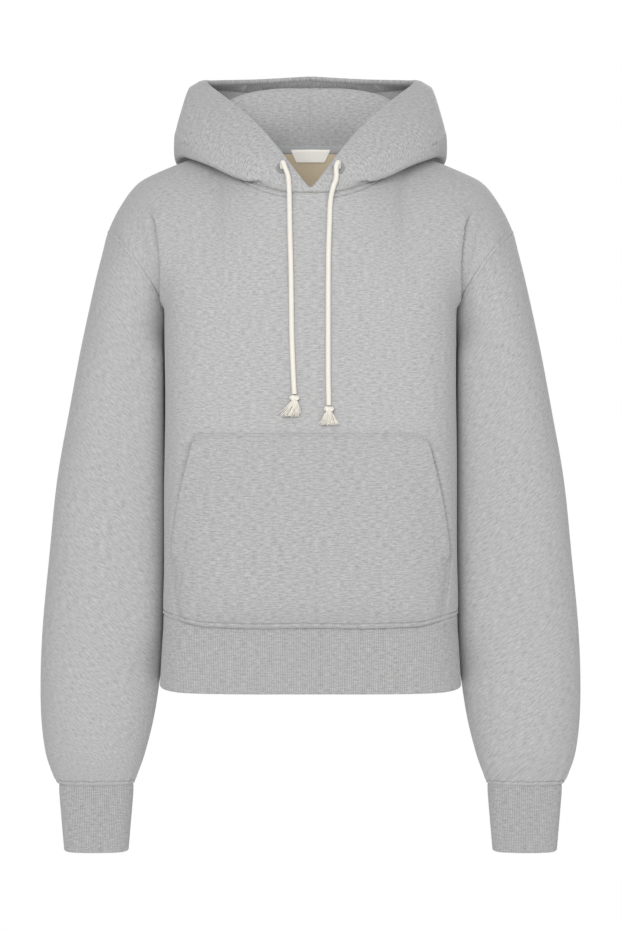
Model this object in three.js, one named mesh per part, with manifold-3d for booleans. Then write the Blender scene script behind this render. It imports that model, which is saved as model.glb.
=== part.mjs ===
// Pullover hoodie in marl fleece, filled out as it is on a wearer, with nobody in it. Every piece of cloth is a thin
// wall: a grid of outer points worked out from short tables, and the same grid moved in by the cloth's thickness.
// Millimetres, +Z up, the front faces -Y, and the origin lies level with the neck ends of the shoulder seams.
import * as THREE from "three";
import { mergeVertices } from "three/addons/utils/BufferGeometryUtils.js";
import Module from "manifold-3d";

const wasm = await Module();
wasm.setup();

// Driving dimensions.
const fleece = 2.5; // wall of the body and the sleeves
const hoodLayer = 2; // each of the hood's two layers
const ribWall = 3.5; // doubled rib knit
const ribHeight = 0.8; // how far a rib stands out
const hemRibs = 60;
const cuffRibs = 18;
const seamGap = 0.3;
const bendSlack = 0.12; // more room where the hem seam bends
const layerGap = 0.5; // between the hood and its lining
const underarmZ = -190;
const cuffSeamZ = -716;
const cuffEdgeZ = -791;
const pocketTopZ = -322;
const pocketFoot = 1.5; // above the hem seam
const cordDiameter = 5.5;
const cordSides = 8;
const eyeletOuter = 13;
const eyeletHole = 6.6;
const eyeletHeight = 1.2;

const point = (x, y, z) => new THREE.Vector3(x, y, z);
const radians = THREE.MathUtils.degToRad;
const degrees = THREE.MathUtils.radToDeg;

// A smooth run through the rows of a table, each row set at its knot. at(t) gives the row in between.
function run(knots, rows) {
  const last = knots.length - 1;
  const secant = (i, k) => (rows[i + 1][k] - rows[i][k]) / (knots[i + 1] - knots[i]);
  const slope = (i, k) => {
    if (i === 0) return secant(0, k);
    if (i === last) return secant(last - 1, k);
    const before = knots[i] - knots[i - 1];
    const after = knots[i + 1] - knots[i];
    return (secant(i - 1, k) * after + secant(i, k) * before) / (before + after);
  };
  return (t) => {
    let i = 0;
    while (i < last - 1 && t > knots[i + 1]) i += 1;
    const span = knots[i + 1] - knots[i];
    const f = (t - knots[i]) / span;
    const [f2, f3] = [f * f, f * f * f];
    return rows[i].map((start, k) =>
      (2 * f3 - 3 * f2 + 1) * start + (f3 - 2 * f2 + f) * span * slope(i, k)
        + (3 * f2 - 2 * f3) * rows[i + 1][k] + (f3 - f2) * span * slope(i + 1, k));
  };
}

// Evenly spaced values from one end to the other, both ends included.
function steps(from, to, count) {
  return Array.from({ length: count + 1 }, (_, i) => from + ((to - from) * i) / count);
}

// The outward direction at each point of a grid, where columns run to the right and rows run up as seen from outside.
function outwards(grid, closed) {
  const rows = grid.length;
  const columns = grid[0].length;
  const column = (c) => (closed ? (c + columns) % columns : Math.min(Math.max(c, 0), columns - 1));
  return grid.map((line, r) => line.map((_, c) => {
    const across = grid[r][column(c + 1)].clone().sub(grid[r][column(c - 1)]);
    const up = grid[Math.min(r + 1, rows - 1)][c].clone().sub(grid[Math.max(r - 1, 0)][c]);
    return across.cross(up).normalize();
  }));
}

// A closed wall with the grid as its outside. steer turns the direction of thickness where an edge meets the next
// piece, and raise lifts outer points.
function wall(grid, thickness, { closed = false, steer = null, raise = null } = {}) {
  const normals = outwards(grid, closed);
  const rows = grid.length;
  const columns = grid[0].length;
  const direction = (r, c) => (steer ? steer(normals[r][c], grid[r][c], r, c) : normals[r][c]);
  const positions = [];
  for (const side of [0, 1]) {
    grid.forEach((line, r) => line.forEach((p, c) => {
      const away = direction(r, c);
      const out = side === 0 ? (raise ? raise(r, c) : 0) : -thickness;
      positions.push(p.x + away.x * out, p.y + away.y * out, p.z + away.z * out);
    }));
  }
  const outer = (r, c) => r * columns + (c % columns);
  const inner = (r, c) => rows * columns + outer(r, c);
  const index = [];
  const quad = (a, b, c, d) => index.push(a, b, c, a, c, d);
  const spans = closed ? columns : columns - 1;
  const at = (r, c) => grid[r][c % columns];
  for (let r = 0; r < rows - 1; r += 1) {
    for (let c = 0; c < spans; c += 1) {
      const rising = at(r, c).distanceTo(at(r + 1, c + 1));
      const falling = at(r, c + 1).distanceTo(at(r + 1, c));
      if (rising <= falling) {
        quad(outer(r, c), outer(r, c + 1), outer(r + 1, c + 1), outer(r + 1, c));
        quad(inner(r, c), inner(r + 1, c), inner(r + 1, c + 1), inner(r, c + 1));
      } else {
        quad(outer(r, c + 1), outer(r + 1, c + 1), outer(r + 1, c), outer(r, c));
        quad(inner(r, c + 1), inner(r, c), inner(r + 1, c), inner(r + 1, c + 1));
      }
    }
  }
  for (let c = 0; c < spans; c += 1) {
    quad(inner(0, c), inner(0, c + 1), outer(0, c + 1), outer(0, c));
    quad(outer(rows - 1, c), outer(rows - 1, c + 1), inner(rows - 1, c + 1), inner(rows - 1, c));
  }
  for (let r = 0; !closed && r < rows - 1; r += 1) {
    quad(outer(r, 0), outer(r + 1, 0), inner(r + 1, 0), inner(r, 0));
    quad(inner(r, spans), inner(r + 1, spans), outer(r + 1, spans), outer(r, spans));
  }
  const geometry = new THREE.BufferGeometry();
  geometry.setAttribute("position", new THREE.Float32BufferAttribute(positions, 3));
  geometry.setIndex(index);
  return geometry;
}

// The same grid on the other side of the centre line, with its columns turned round so that it still faces out.
const mirrored = (grid) => grid.map((line) => line.map((p) => point(-p.x, p.y, p.z)).reverse());

const marl = (color, roughness = 0.95) => new THREE.MeshStandardMaterial({ color, roughness, metalness: 0 });
const materials = {
  body: marl(0xbebfc0),
  pocket: marl(0xb9babb),
  rib: marl(0xafb0b1),
  hood: marl(0xb6b7b8),
  lining: marl(0xaeafb0),
  tape: marl(0xa4a5a6),
  patch: marl(0xa49680),
  label: marl(0xe9e4db, 0.5),
  eyelet: marl(0x9c9d9e, 0.8),
  cord: marl(0xf0ebe2, 0.9),
};

const hoodie = new THREE.Group();
function add(name, geometry, material) {
  const mesh = new THREE.Mesh(geometry, material);
  mesh.name = name;
  hoodie.add(mesh);
}

// The torso's level sections: a boxy front and a rounder back that share the side's half width.
const torsoSections = [
  { z: -606, half: 168.6, front: 105.5, back: 108 },
  { z: -565, half: 166.3, front: 106, back: 109 },
  { z: -529, half: 164.2, front: 108, back: 110 },
  { z: -514, half: 164.5, front: 114, back: 114 },
  { z: -470, half: 164, front: 117, back: 117 },
  { z: -380, half: 163, front: 116, back: 117 },
  { z: -280, half: 162.5, front: 115, back: 116 },
  { z: -190, half: 162.5, front: 113, back: 115 },
];
const boxiness = { front: 4.5, back: 3 };
const torsoSizes = run(torsoSections.map((s) => s.z), torsoSections.map((s) => [s.half, s.front, s.back]));

// A point of the torso at a height, turn degrees round from the centre front (0) by the side (90) to the back (180).
function torsoPoint(turn, z) {
  const [half, front, back] = torsoSizes(z);
  const [side, depth] = [Math.sin(radians(turn)), Math.cos(radians(turn))];
  const power = depth >= 0 ? boxiness.front : boxiness.back;
  const reach = (Math.abs(side) / half) ** power + (Math.abs(depth) / (depth >= 0 ? front : back)) ** power;
  const r = reach ** (-1 / power);
  return point(r * side, -r * depth, z);
}

// The heights of the hem seam and of the hem's lower edge, round from the centre front (0) to the centre back (180).
const hemHeights = [
  { turn: 0, seam: -533, edge: -605.4 },
  { turn: 42, seam: -532.8, edge: -605.3 },
  { turn: 51, seam: -531.2, edge: -605.1 },
  { turn: 54.5, seam: -528.8, edge: -604.9 },
  { turn: 58, seam: -526.3, edge: -604.6 },
  { turn: 69.5, seam: -523, edge: -602.6 },
  { turn: 90, seam: -522.4, edge: -601.4 },
  { turn: 125, seam: -524.5, edge: -601.3 },
  { turn: 180, seam: -527, edge: -601.3 },
];
const hemRun = run(hemHeights.map((h) => h.turn), hemHeights.map((h) => [h.seam, h.edge]));
const hemAt = (turn) => hemRun(turn > 180 ? 360 - turn : turn);

// Above the underarm each panel is a fan of lines. A line leaves the torso at its turn, in the direction of rise, and
// comes to its top from the direction of lean. Lines 0 to 5 end on the neckline, 5 to 10 on the shoulder, and line 10
// is the armhole itself.
const frontLines = [
  { turn: 0, rise: [0, 0, 50], lean: [0, -4, -35], top: [0, -108, -60] },
  { turn: 12.5, rise: [0, 0, 52], lean: [0, -6, -30], top: [28, -104, -59] },
  { turn: 23.9, rise: [0, 0, 55], lean: [1, -11, -26], top: [57, -92, -50] },
  { turn: 32.6, rise: [0, 0, 58], lean: [3, -22, -20], top: [80, -68, -35] },
  { turn: 39.7, rise: [0, 0, 60], lean: [6, -36, -14], top: [94, -36, -15] },
  { turn: 44.8, rise: [0, -1, 60], lean: [8, -50, -8], top: [99, 0, 2] },
  { turn: 49.7, rise: [1, -1, 60], lean: [3, -58, 0], top: [135, 0, -11] },
  { turn: 54.6, rise: [4, -3, 56], lean: [0, -60, 2], top: [171, 0, -25.6] },
  { turn: 59.6, rise: [4, -4, 52], lean: [-3, -58, 1], top: [196, 0, -39.2] },
  { turn: 67.9, rise: [-1, -7, 40], lean: [-6, -66, 0], top: [216, 0, -66] },
  { turn: 90, rise: [-5, -85, 18], lean: [-17, -85, -9], top: [228.5, 0, -90] },
];
const backLines = [
  { turn: 180, rise: [0, 1, 70], lean: [0, 22, -52], top: [0, 88, 12] },
  { turn: 166, rise: [0, 1, 70], lean: [0, 24, -50], top: [30, 84, 11.5] },
  { turn: 153, rise: [0, 1, 70], lean: [1, 32, -46], top: [58, 70, 10.5] },
  { turn: 142, rise: [0, 1, 68], lean: [3, 44, -38], top: [80, 47, 8.5] },
  { turn: 134, rise: [1, 2, 66], lean: [6, 54, -28], top: [93, 24, 5.5] },
  { turn: 129, rise: [1, 3, 64], lean: [8, 60, -16], top: [99, 0, 2] },
  { turn: 124, rise: [2, 3, 62], lean: [3, 62, -4], top: [135, 0, -11] },
  { turn: 120, rise: [4, 4, 58], lean: [0, 62, -2], top: [171, 0, -25.6] },
  { turn: 115, rise: [4, 5, 54], lean: [-3, 60, -1], top: [196, 0, -39.2] },
  { turn: 108, rise: [-1, 8, 42], lean: [-6, 66, 0], top: [216, 0, -66] },
  { turn: 90, rise: [-5, 85, 18], lean: [-17, 85, -9], top: [228.5, 0, -90] },
];
const lineKnots = frontLines.map((_, i) => i);
const spread = (lines) => run(lineKnots, lines.map((l) => [l.turn, ...l.rise, ...l.lean, ...l.top]));
const front = spread(frontLines);
const back = spread(backLines);
const neckLine = 5; // the line that ends where neckline and shoulder meet
const armLine = 10;

// A point of a panel: line runs from 0 at the centre to 10 at the side, and v from 0 at the hem seam by 1 at the
// underarm to 2 at the top.
function panelPoint(panel, line, v) {
  const [turn, riseX, riseY, riseZ, leanX, leanY, leanZ, topX, topY, topZ] = panel(line);
  if (v <= 1) {
    const [seamZ] = hemAt(turn);
    return torsoPoint(turn, seamZ + (underarmZ - seamZ) * v);
  }
  const foot = torsoPoint(turn, underarmZ);
  const top = point(topX, line < neckLine ? topY : 0, topZ);
  const path = new THREE.CubicBezierCurve3(
    foot, foot.clone().add(point(riseX, riseY, riseZ)), top.clone().add(point(leanX, leanY, leanZ)), top);
  return path.getPoint(v - 1);
}

// The directions in which a wall is thick where its edge meets another piece.
const armholeAxis = point(0.86, 0, -0.51);
const armholeTopZ = -90;
const armholeReach = 40; // how far in front of or behind the shoulder its directions turn fully forward or back
function aroundArmhole(p, belongsTo) {
  const high = (p.z - underarmZ) / (armholeTopZ - underarmZ);
  const foldX = belongsTo === "panel" ? 0.5 : -0.5;
  return point(
    Math.sign(p.x) * (foldX * (1 - high) + 0.95 * high),
    p.y / armholeReach,
    0.3 * high - 0.87 * (1 - high)).normalize();
}
const neckAxisY = -10;
const aroundNeck = (p) => point(p.x, p.y - neckAxisY, 0).normalize();

const neckSteps = steps(0, neckLine, 5);
const shoulderSteps = [5.9, 6.8, 7.7, 8.5, 9.1, 9.6, armLine];
const lineSteps = [...neckSteps, ...shoulderSteps];
const lowerSteps = [...steps(0, 0.08, 2), ...steps(0.24, 1, 5)];
const upperSteps = steps(1, 2, 11).slice(1);
const heightSteps = [...lowerSteps, ...upperSteps];

// The panel's whole grid. Its edges keep half a seam's gap from the next piece.
function panelGrid(panel, side) {
  const half = heightSteps.map((v) => lineSteps.map((line) => {
    const p = panelPoint(panel, line, v);
    const atSideSeam = line === armLine && v <= 1;
    const atShoulder = v === 2 && line >= neckLine;
    if (atSideSeam || atShoulder) p.y += side * (seamGap / 2);
    if (v === 0) p.z += seamGap / 2;
    if (v === 2 && line <= neckLine) p.z -= seamGap / 2;
    return p;
  }));
  const other = mirrored(half);
  return side < 0
    ? half.map((line, r) => [...other[r].slice(0, -1), ...line])
    : half.map((line, r) => [...line.slice().reverse(), ...other[r].slice().reverse().slice(1)]);
}

function panelSteer(normal, p, r, c) {
  const line = lineSteps[Math.abs(c - (lineSteps.length - 1))];
  const v = heightSteps[r];
  if (line === armLine && v >= 1) return aroundArmhole(p, "panel");
  if (line === armLine) return point(Math.sign(p.x), 0, 0);
  if (v < 2) return v === 0 ? point(normal.x, normal.y, 0).normalize() : normal;
  if (line < neckLine) return aroundNeck(p);
  if (line === neckLine) return point(Math.sign(p.x), 0, 1).normalize();
  return point(normal.x, 0, normal.z).normalize();
}

add("front_panel", wall(panelGrid(front, -1), fleece, { steer: panelSteer }), materials.body);
add("back_panel", wall(panelGrid(back, 1), fleece, { steer: panelSteer }), materials.body);

// The sleeve's rings below the armhole: the outer and inner edges seen from the front, and the depth of each half.
const sleeveRings = [
  { outerX: 241, outerZ: -142, innerX: 166.5, innerZ: -226, front: 57, back: 56 },
  { outerX: 256.5, outerZ: -214, innerX: 166, innerZ: -276, front: 54, back: 54 },
  { outerX: 273.5, outerZ: -300, innerX: 164.8, innerZ: -336, front: 52, back: 53 },
  { outerX: 288, outerZ: -391, innerX: 164.9, innerZ: -408, front: 50, back: 52 },
  { outerX: 298, outerZ: -486, innerX: 165.8, innerZ: -492, front: 49, back: 51 },
  { outerX: 304, outerZ: -567, innerX: 167.5, innerZ: -567, front: 48, back: 50 },
  { outerX: 304.5, outerZ: -632, innerX: 175.5, innerZ: -632, front: 46, back: 48 },
  { outerX: 299.5, outerZ: -678, innerX: 186.5, innerZ: -678, front: 40, back: 42 },
  { outerX: 291, outerZ: -704, innerX: 195, innerZ: -704, front: 31, back: 32 },
  { outerX: 284.5, outerZ: -716, innerX: 200, innerZ: -716, front: 24.5, back: 25.5 },
];
const sleeveRoundness = 2.25;

// A point of a ring, turn degrees round from the outer edge (0) by the front (90) and the inner edge (180) to the
// back (270).
function ringPoint(ring, turn) {
  const [across, along] = [Math.cos(radians(turn)), Math.sin(radians(turn))];
  const power = 2 / sleeveRoundness;
  const shareX = Math.sign(across) * Math.abs(across) ** power;
  const shareY = Math.sign(along) * Math.abs(along) ** power;
  const [centreX, centreZ] = [(ring.outerX + ring.innerX) / 2, (ring.outerZ + ring.innerZ) / 2];
  return point(
    centreX + ((ring.outerX - ring.innerX) / 2) * shareX,
    -(along >= 0 ? ring.front : ring.back) * shareY,
    centreZ + ((ring.outerZ - ring.innerZ) / 2) * shareX);
}

// The armhole as the sleeve's first ring: over the top, down the front panel's edge and up the back panel's.
const armholeSteps = steps(2, 1, 11);
const armholeRing = [
  ...armholeSteps.map((v) => panelPoint(front, armLine, v)),
  ...armholeSteps.slice(1, -1).reverse().map((v) => panelPoint(back, armLine, v)),
];

function sleeveGrid(ringSteps) {
  const lines = armholeRing.map((start, k) => {
    const turn = (360 * k) / armholeRing.length;
    const first = start.clone().addScaledVector(armholeAxis, seamGap);
    const points = [first, ...sleeveRings.map((ring) => ringPoint(ring, turn))];
    return run(points.map((_, i) => i), points.map((p) => p.toArray()));
  });
  return ringSteps.map((t) => lines.map((line) => point(...line(t))));
}

const sleeveSteps = [...steps(0, 2, 4), ...steps(2.8, 6, 4), 6.8, 7.5, 8.2, 8.9, 9.5, 10];
const sleeve = sleeveGrid(sleeveSteps);
function sleeveSteer(normal, p, r) {
  if (r === 0) return aroundArmhole(p, "sleeve");
  return r === sleeveSteps.length - 1 ? point(normal.x, normal.y, 0).normalize() : normal;
}
for (const [side, grid] of [["left", sleeve], ["right", mirrored(sleeve)]]) {
  add(`sleeve_${side}`, wall(grid, fleece, { closed: true, steer: sleeveSteer }), materials.body);
}

// Places along a closed outline that lie evenly spaced on it.
function evenly(outline, count) {
  const fine = steps(0, 1, 720);
  const lengths = [0];
  for (let i = 1; i < fine.length; i += 1) {
    lengths.push(lengths[i - 1] + outline(fine[i]).distanceTo(outline(fine[i - 1])));
  }
  return Array.from({ length: count }, (_, n) => {
    const wanted = (lengths[lengths.length - 1] * n) / count;
    const i = Math.max(lengths.findIndex((l) => l > wanted), 1);
    const f = (wanted - lengths[i - 1]) / (lengths[i] - lengths[i - 1]);
    return fine[i - 1] + f * (fine[i] - fine[i - 1]);
  });
}

// Rib knit stands out at every other column.
const raiseRibs = (r, c) => (c % 2 === 0 ? ribHeight : 0);
const levelSteer = (normal) => point(normal.x, normal.y, 0).normalize();

function hemRib() {
  const middleZ = (hemHeights[0].seam + hemHeights[0].edge) / 2;
  const turns = evenly((s) => torsoPoint(360 * s, middleZ), 2 * hemRibs).map((s) => 360 * s);
  const grid = [0, 0.5, 1].map((v) => turns.map((turn) => {
    const [seamZ, edgeZ] = hemAt(turn);
    const topZ = seamZ - seamGap / 2 - bendSlack;
    const p = torsoPoint(turn, edgeZ + (topZ - edgeZ) * v);
    const inset = 1 - ribHeight / Math.hypot(p.x, p.y);
    return point(p.x * inset, p.y * inset, p.z);
  }));
  return wall(grid, ribWall, { closed: true, steer: levelSteer, raise: raiseRibs });
}
add("hem_rib", hemRib(), materials.rib);

// The cuff's rings, from the seam down to the open edge.
const cuffRings = [
  { z: cuffSeamZ - seamGap, outerX: 283.5, innerX: 200.5, front: 24, back: 24.5 },
  { z: -732, outerX: 282.5, innerX: 201.5, front: 24, back: 24.5 },
  { z: cuffEdgeZ, outerX: 277.5, innerX: 206.5, front: 22.5, back: 23 },
];

function cuffGrid() {
  const rings = cuffRings.map((r) => ({ ...r, outerZ: r.z, innerZ: r.z }));
  const turns = evenly((s) => ringPoint(rings[1], 360 * s), 2 * cuffRibs).map((s) => 360 * s);
  return rings.map((ring) => turns.map((turn) => ringPoint(ring, turn)));
}
for (const [side, grid] of [["left", cuffGrid()], ["right", mirrored(cuffGrid())]]) {
  add(`cuff_${side}`, wall(grid, ribWall, { closed: true, steer: levelSteer, raise: raiseRibs }), materials.rib);
}

// The pocket lies on the front: half its width at each height.
const pocketOutline = [
  { z: -532, half: 143 },
  { z: -500, half: 148 },
  { z: -474, half: 151.5 },
  { z: -450, half: 152.5 },
  { z: -420, half: 149 },
  { z: -382, half: 142 },
  { z: -352, half: 134.5 },
  { z: pocketTopZ, half: 126.5 },
];
const pocketHalf = run(pocketOutline.map((r) => r.z), pocketOutline.map((r) => [r.half]));
const pocketLift = 1.2;

// The point of the front at a distance from the centre line, below the underarm.
function frontAt(x, z) {
  const [half, depth] = torsoSizes(z);
  const y = -depth * (1 - (Math.abs(x) / half) ** boxiness.front) ** (1 / boxiness.front);
  return point(x, y, z);
}

const pocketColumns = [0, 0.3, 0.55, 0.72, 0.82, 0.89, 0.95, 1];
function pocketGrid() {
  const shares = [...pocketColumns.slice(1).reverse().map((s) => -s), ...pocketColumns];
  const flat = steps(0, 1, 9).map((v) => shares.map((share) => {
    const corner = frontAt(Math.abs(share) * pocketHalf(pocketOutline[0].z)[0], pocketOutline[0].z);
    const foot = hemAt(degrees(Math.atan2(corner.x, -corner.y)))[0] + pocketFoot;
    const z = foot + (pocketTopZ - foot) * v;
    return frontAt(share * pocketHalf(z)[0], z);
  }));
  const away = outwards(flat, false);
  return flat.map((line, r) => line.map((p, c) =>
    p.clone().addScaledVector(away[r][c], pocketLift + fleece)));
}
add("kangaroo_pocket", wall(pocketGrid(), fleece), materials.pocket);

// The hood's sections, from the neck seam to its rim. around runs from the centre front (0) by the neck ends of the
// shoulder seams (5) to the centre back (10). At the back the cloth rises to a crest, falls behind it into the bag and
// rises again to the far rim. At the front it hangs out over the shoulder before it turns up to the rim.
const hoodSections = [
  { around: 0, near: [0, -108.4, -59.4], crest: [0, -108.8, -58.7], fall: [0, -109.1, -58], bag: [0, -109.5, -57.3],
    out: [0, -109.8, -56.6], top: [0, -110.1, -55.8], rim: [0, -110.4, -55] },
  { around: 0.7, near: [19.8, -107.5, -58], crest: [19.4, -108.5, -55], fall: [18.8, -109.2, -52],
    bag: [18, -109.5, -48.5], out: [17, -109, -45], top: [15.5, -107, -41], rim: [13.5, -104, -37] },
  { around: 1.5, near: [43, -101, -54], crest: [43.5, -102.5, -52], fall: [44, -104, -49],
    bag: [44, -105, -44], out: [41, -104.5, -35], top: [35, -101, -25], rim: [28.5, -94, -16] },
  { around: 2.4, near: [69, -84.5, -43], crest: [71.5, -87, -42], fall: [74, -89.5, -40.5],
    bag: [79, -92, -36], out: [81, -88, -20], top: [67, -82, -3], rim: [50, -72, 12] },
  { around: 3.4, near: [92, -57, -24.5], crest: [98, -60.5, -25], fall: [104, -64, -23.5],
    bag: [114, -69, -20.5], out: [122, -60, -2], top: [101, -52, 23], rim: [74, -47, 38] },
  { around: 4.5, near: [105, -18, -1], crest: [113, -20.5, -2], fall: [123, -24.5, -6],
    bag: [142, -32, -9.5], out: [148, -22, 16], top: [128, -16, 47], rim: [97, -14, 60] },
  { around: 5.8, near: [104, 26, 22], crest: [112, 30, 36], fall: [122, 34, 16],
    bag: [152.5, 34, -13], out: [153.5, 34, 18], top: [139.5, 32, 72], rim: [119, 28, 82.5] },
  { around: 7.3, near: [79, 56, 36], crest: [85, 62, 64], fall: [98, 78, 46],
    bag: [118, 108, -26], out: [137, 112, 20], top: [128.5, 90, 83.5], rim: [110, 74, 91] },
  { around: 8.7, near: [41, 71, 45], crest: [46, 76, 75.5], fall: [51, 94, 54],
    bag: [64, 138, -50], out: [73, 156, 20], top: [68, 138, 91.3], rim: [60, 124, 100.3] },
  { around: 10, near: [0, 78, 48], crest: [0, 82, 78.5], fall: [0, 102, 56],
    bag: [0, 148, -58], out: [0, 170, 15], top: [0, 152, 95.3], rim: [0, 140, 106.3] },
];
const hoodBends = ["near", "crest", "fall", "bag", "out", "top", "rim"];
const hoodRun = run(hoodSections.map((s) => s.around), hoodSections.map((s) => hoodBends.flatMap((b) => s[b])));
const hoodEnd = 10;

const neckPoint = (around) => (around <= neckLine
  ? panelPoint(front, around, 2) : panelPoint(back, hoodEnd - around, 2));

// How far along a section, from the neck seam (0) to the rim (1), the seam and each bend lie.
const hoodKnots = [0, 0.13, 0.25, 0.38, 0.57, 0.71, 0.87, 1];

function hoodSection(around) {
  const numbers = hoodRun(around);
  const bends = [neckPoint(around).add(point(0, 0, seamGap)).toArray()];
  for (let i = 0; i < numbers.length; i += 3) bends.push(numbers.slice(i, i + 3));
  const curve = run(hoodKnots, bends);
  return (w) => point(...curve(w));
}

const hoodArounds = [...neckSteps, ...neckSteps.slice(0, -1).reverse().map((line) => hoodEnd - line)];
const hoodSpans = [1, 2, 2, 3, 3, 2, 1]; // rows of the grid from each bend to the next
const hoodRows = hoodSpans.flatMap((count, i) => steps(hoodKnots[i], hoodKnots[i + 1], count).slice(0, -1)).concat(1);
const centreGap = seamGap / 2;

function hoodGrid() {
  const sections = hoodArounds.map(hoodSection);
  return hoodRows.map((w) => sections.map((section, c) => {
    const p = section(w);
    if (c === 0 || c === sections.length - 1) p.x = centreGap;
    return p;
  }));
}

// The layers are thick towards the neck's axis at the seam, and along the middle where the two halves meet.
function hoodSteer(normal, p, r, c) {
  const atCentre = Math.abs(p.x) <= centreGap + 1e-6;
  if (r === 0) return atCentre ? point(0, Math.sign(p.y), 0) : aroundNeck(p);
  return atCentre ? point(0, normal.y, normal.z).normalize() : normal;
}

// A grid moved in by a distance along the directions of its wall.
function movedIn(grid, distance, steer) {
  const normals = outwards(grid, false);
  return grid.map((line, r) => line.map((p, c) =>
    p.clone().addScaledVector(steer(normals[r][c], p, r, c), -distance)));
}

const hoodOuter = hoodGrid();
const hoodInner = movedIn(hoodOuter, hoodLayer + layerGap, hoodSteer);
for (const [side, flip] of [["left", (g) => g], ["right", mirrored]]) {
  add(`hood_${side}`, wall(flip(hoodOuter), hoodLayer, { steer: hoodSteer }), materials.hood);
  add(`hood_lining_${side}`, wall(flip(hoodInner), hoodLayer, { steer: hoodSteer }), materials.lining);
}

// The place on a surface of two measures that lies at x and z, with the direction out of the cloth there. A coarse
// search over the ranges finds the start, and Newton's method the place itself.
function placeOn(surface, rangeA, rangeB, x, z) {
  let [a, b, nearest] = [0, 0, Infinity];
  for (const tryA of steps(...rangeA, 16)) {
    for (const tryB of steps(...rangeB, 16)) {
      const p = surface(tryA, tryB);
      const miss = Math.hypot(p.x - x, p.z - z);
      if (miss < nearest) [a, b, nearest] = [tryA, tryB, miss];
    }
  }
  const step = 1e-3;
  for (let i = 0; i < 6; i += 1) {
    const p = surface(a, b);
    const byA = surface(a + step, b).sub(p).divideScalar(step);
    const byB = surface(a, b + step).sub(p).divideScalar(step);
    const scale = byA.x * byB.z - byB.x * byA.z;
    const [missX, missZ] = [x - p.x, z - p.z];
    a = THREE.MathUtils.clamp(a + (missX * byB.z - missZ * byB.x) / scale, ...rangeA);
    b = THREE.MathUtils.clamp(b + (missZ * byA.x - missX * byA.z) / scale, ...rangeB);
  }
  const at = surface(a, b);
  const byA = surface(a + step, b).sub(at);
  return { at, out: byA.cross(surface(a, b + step).sub(at)).normalize() };
}
const onChest = (x, z) => placeOn((line, v) => panelPoint(front, line, v), [0, 5], [1, 1.99], x, z);
const onHood = (x, z) => placeOn((around, w) => hoodSection(around)(w), [0.4, 3], [0.3, 0.99], x, z);
const onBelly = (x, z) => ({ at: frontAt(x, z), out: point(0, -1, 0) });

// Eyelets: flat rings on the hood's front corners, where the drawcord comes out.
const eyelet = { x: 30.5, z: -33, lift: -0.1 };
const eyeletPlace = onHood(eyelet.x, eyelet.z);
function eyeletRing() {
  const [hole, rim, height] = [eyeletHole / 2, eyeletOuter / 2, eyeletHeight];
  const profile = [[hole, 0], [rim, 0], [rim, height * 0.5], [rim - 1.2, height], [hole + 0.8, height], [hole, 0]];
  return new THREE.LatheGeometry(profile.map(([r, y]) => new THREE.Vector2(r, y)), 14);
}

// Drawcords, each a list of places by distance from the centre line and height, on the cloth's outside.
const cordRoutes = {
  right: [[24.4, -42], [23.3, -52], [22.7, -75], [22.2, -105], [21.3, -137], [20.7, -176], [20.2, -214],
    [18.9, -250], [17.4, -279.6]],
  left: [[27.9, -44.7], [24.6, -55], [21.9, -68], [20.6, -95], [19.6, -125.4], [19.3, -160], [19.2, -192.5],
    [19.2, -230], [19.3, -264], [19.9, -291.6]],
};
// The way out of the eyelet: how far off the hood, and how much farther in and down, each place is.
const cordExit = [
  { off: 0.1, inwards: 0, down: 0 },
  { off: 6.5, inwards: 0.2, down: 0.4 },
  { off: 9.5, inwards: 2.6, down: 6 },
];
const cordLift = cordDiameter / 2 + 0.7;
const neckStep = { z: -66, lift: 4.2 }; // the cord stands off the step at the neck seam, and above it

function cordPath(route) {
  const { at, out } = eyeletPlace;
  const leaving = cordExit.map((place) =>
    at.clone().addScaledVector(out, place.off).add(point(-place.inwards, 0, -place.down)));
  const laid = route.map(([x, z]) => {
    const place = z > underarmZ ? onChest(x, Math.min(z, neckStep.z)) : onBelly(x, z);
    const lift = z > neckStep.z ? cordDiameter / 2 + neckStep.lift : cordLift;
    return point(x, place.at.y - lift, z);
  });
  return new THREE.CatmullRomCurve3([...leaving, ...laid]);
}

function cordTube(path) {
  const ring = new THREE.Shape(steps(0, 2 * Math.PI, cordSides).slice(0, -1).map((angle) =>
    new THREE.Vector2(Math.cos(angle) * (cordDiameter / 2), Math.sin(angle) * (cordDiameter / 2))));
  return new THREE.ExtrudeGeometry(ring, { steps: 26, bevelEnabled: false, extrudePath: path });
}

// The tassel: a knot at the cord's end with the cord's own strands let out below it.
const knot = { width: 12, depth: 9.5, height: 8 };
const strandCount = 14;
const strandSize = 1.5;
const tassels = {
  right: { length: 20, leanX: 5.5 },
  left: { length: 17.5, leanX: 0.5 },
};

// A mesh as a solid, with only its places kept and shared corners merged.
function solidOf(geometry) {
  const bare = geometry.clone();
  bare.deleteAttribute("normal");
  bare.deleteAttribute("uv");
  const merged = mergeVertices(bare, 1e-4);
  return new wasm.Manifold(new wasm.Mesh({
    numProp: 3,
    vertProperties: merged.getAttribute("position").array,
    triVerts: new Uint32Array(merged.index.array),
  }));
}

function geometryOf(solid) {
  const mesh = solid.getMesh();
  const geometry = new THREE.BufferGeometry();
  geometry.setAttribute("position", new THREE.Float32BufferAttribute(mesh.vertProperties, 3));
  geometry.setIndex(new THREE.Uint32BufferAttribute(mesh.triVerts, 1));
  return geometry;
}

// How wide the strands fan across and in depth, and the share of their length and lean, at four places down.
const strandFan = [
  { x: 2.8, y: 2.2, down: 0.1, lean: 0 },
  { x: 5, y: 3, down: 0.35, lean: 0 },
  { x: 8, y: 3.6, down: 0.7, lean: 0.5 },
  { x: 9, y: 3.9, down: 1, lean: 1 },
];

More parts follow.
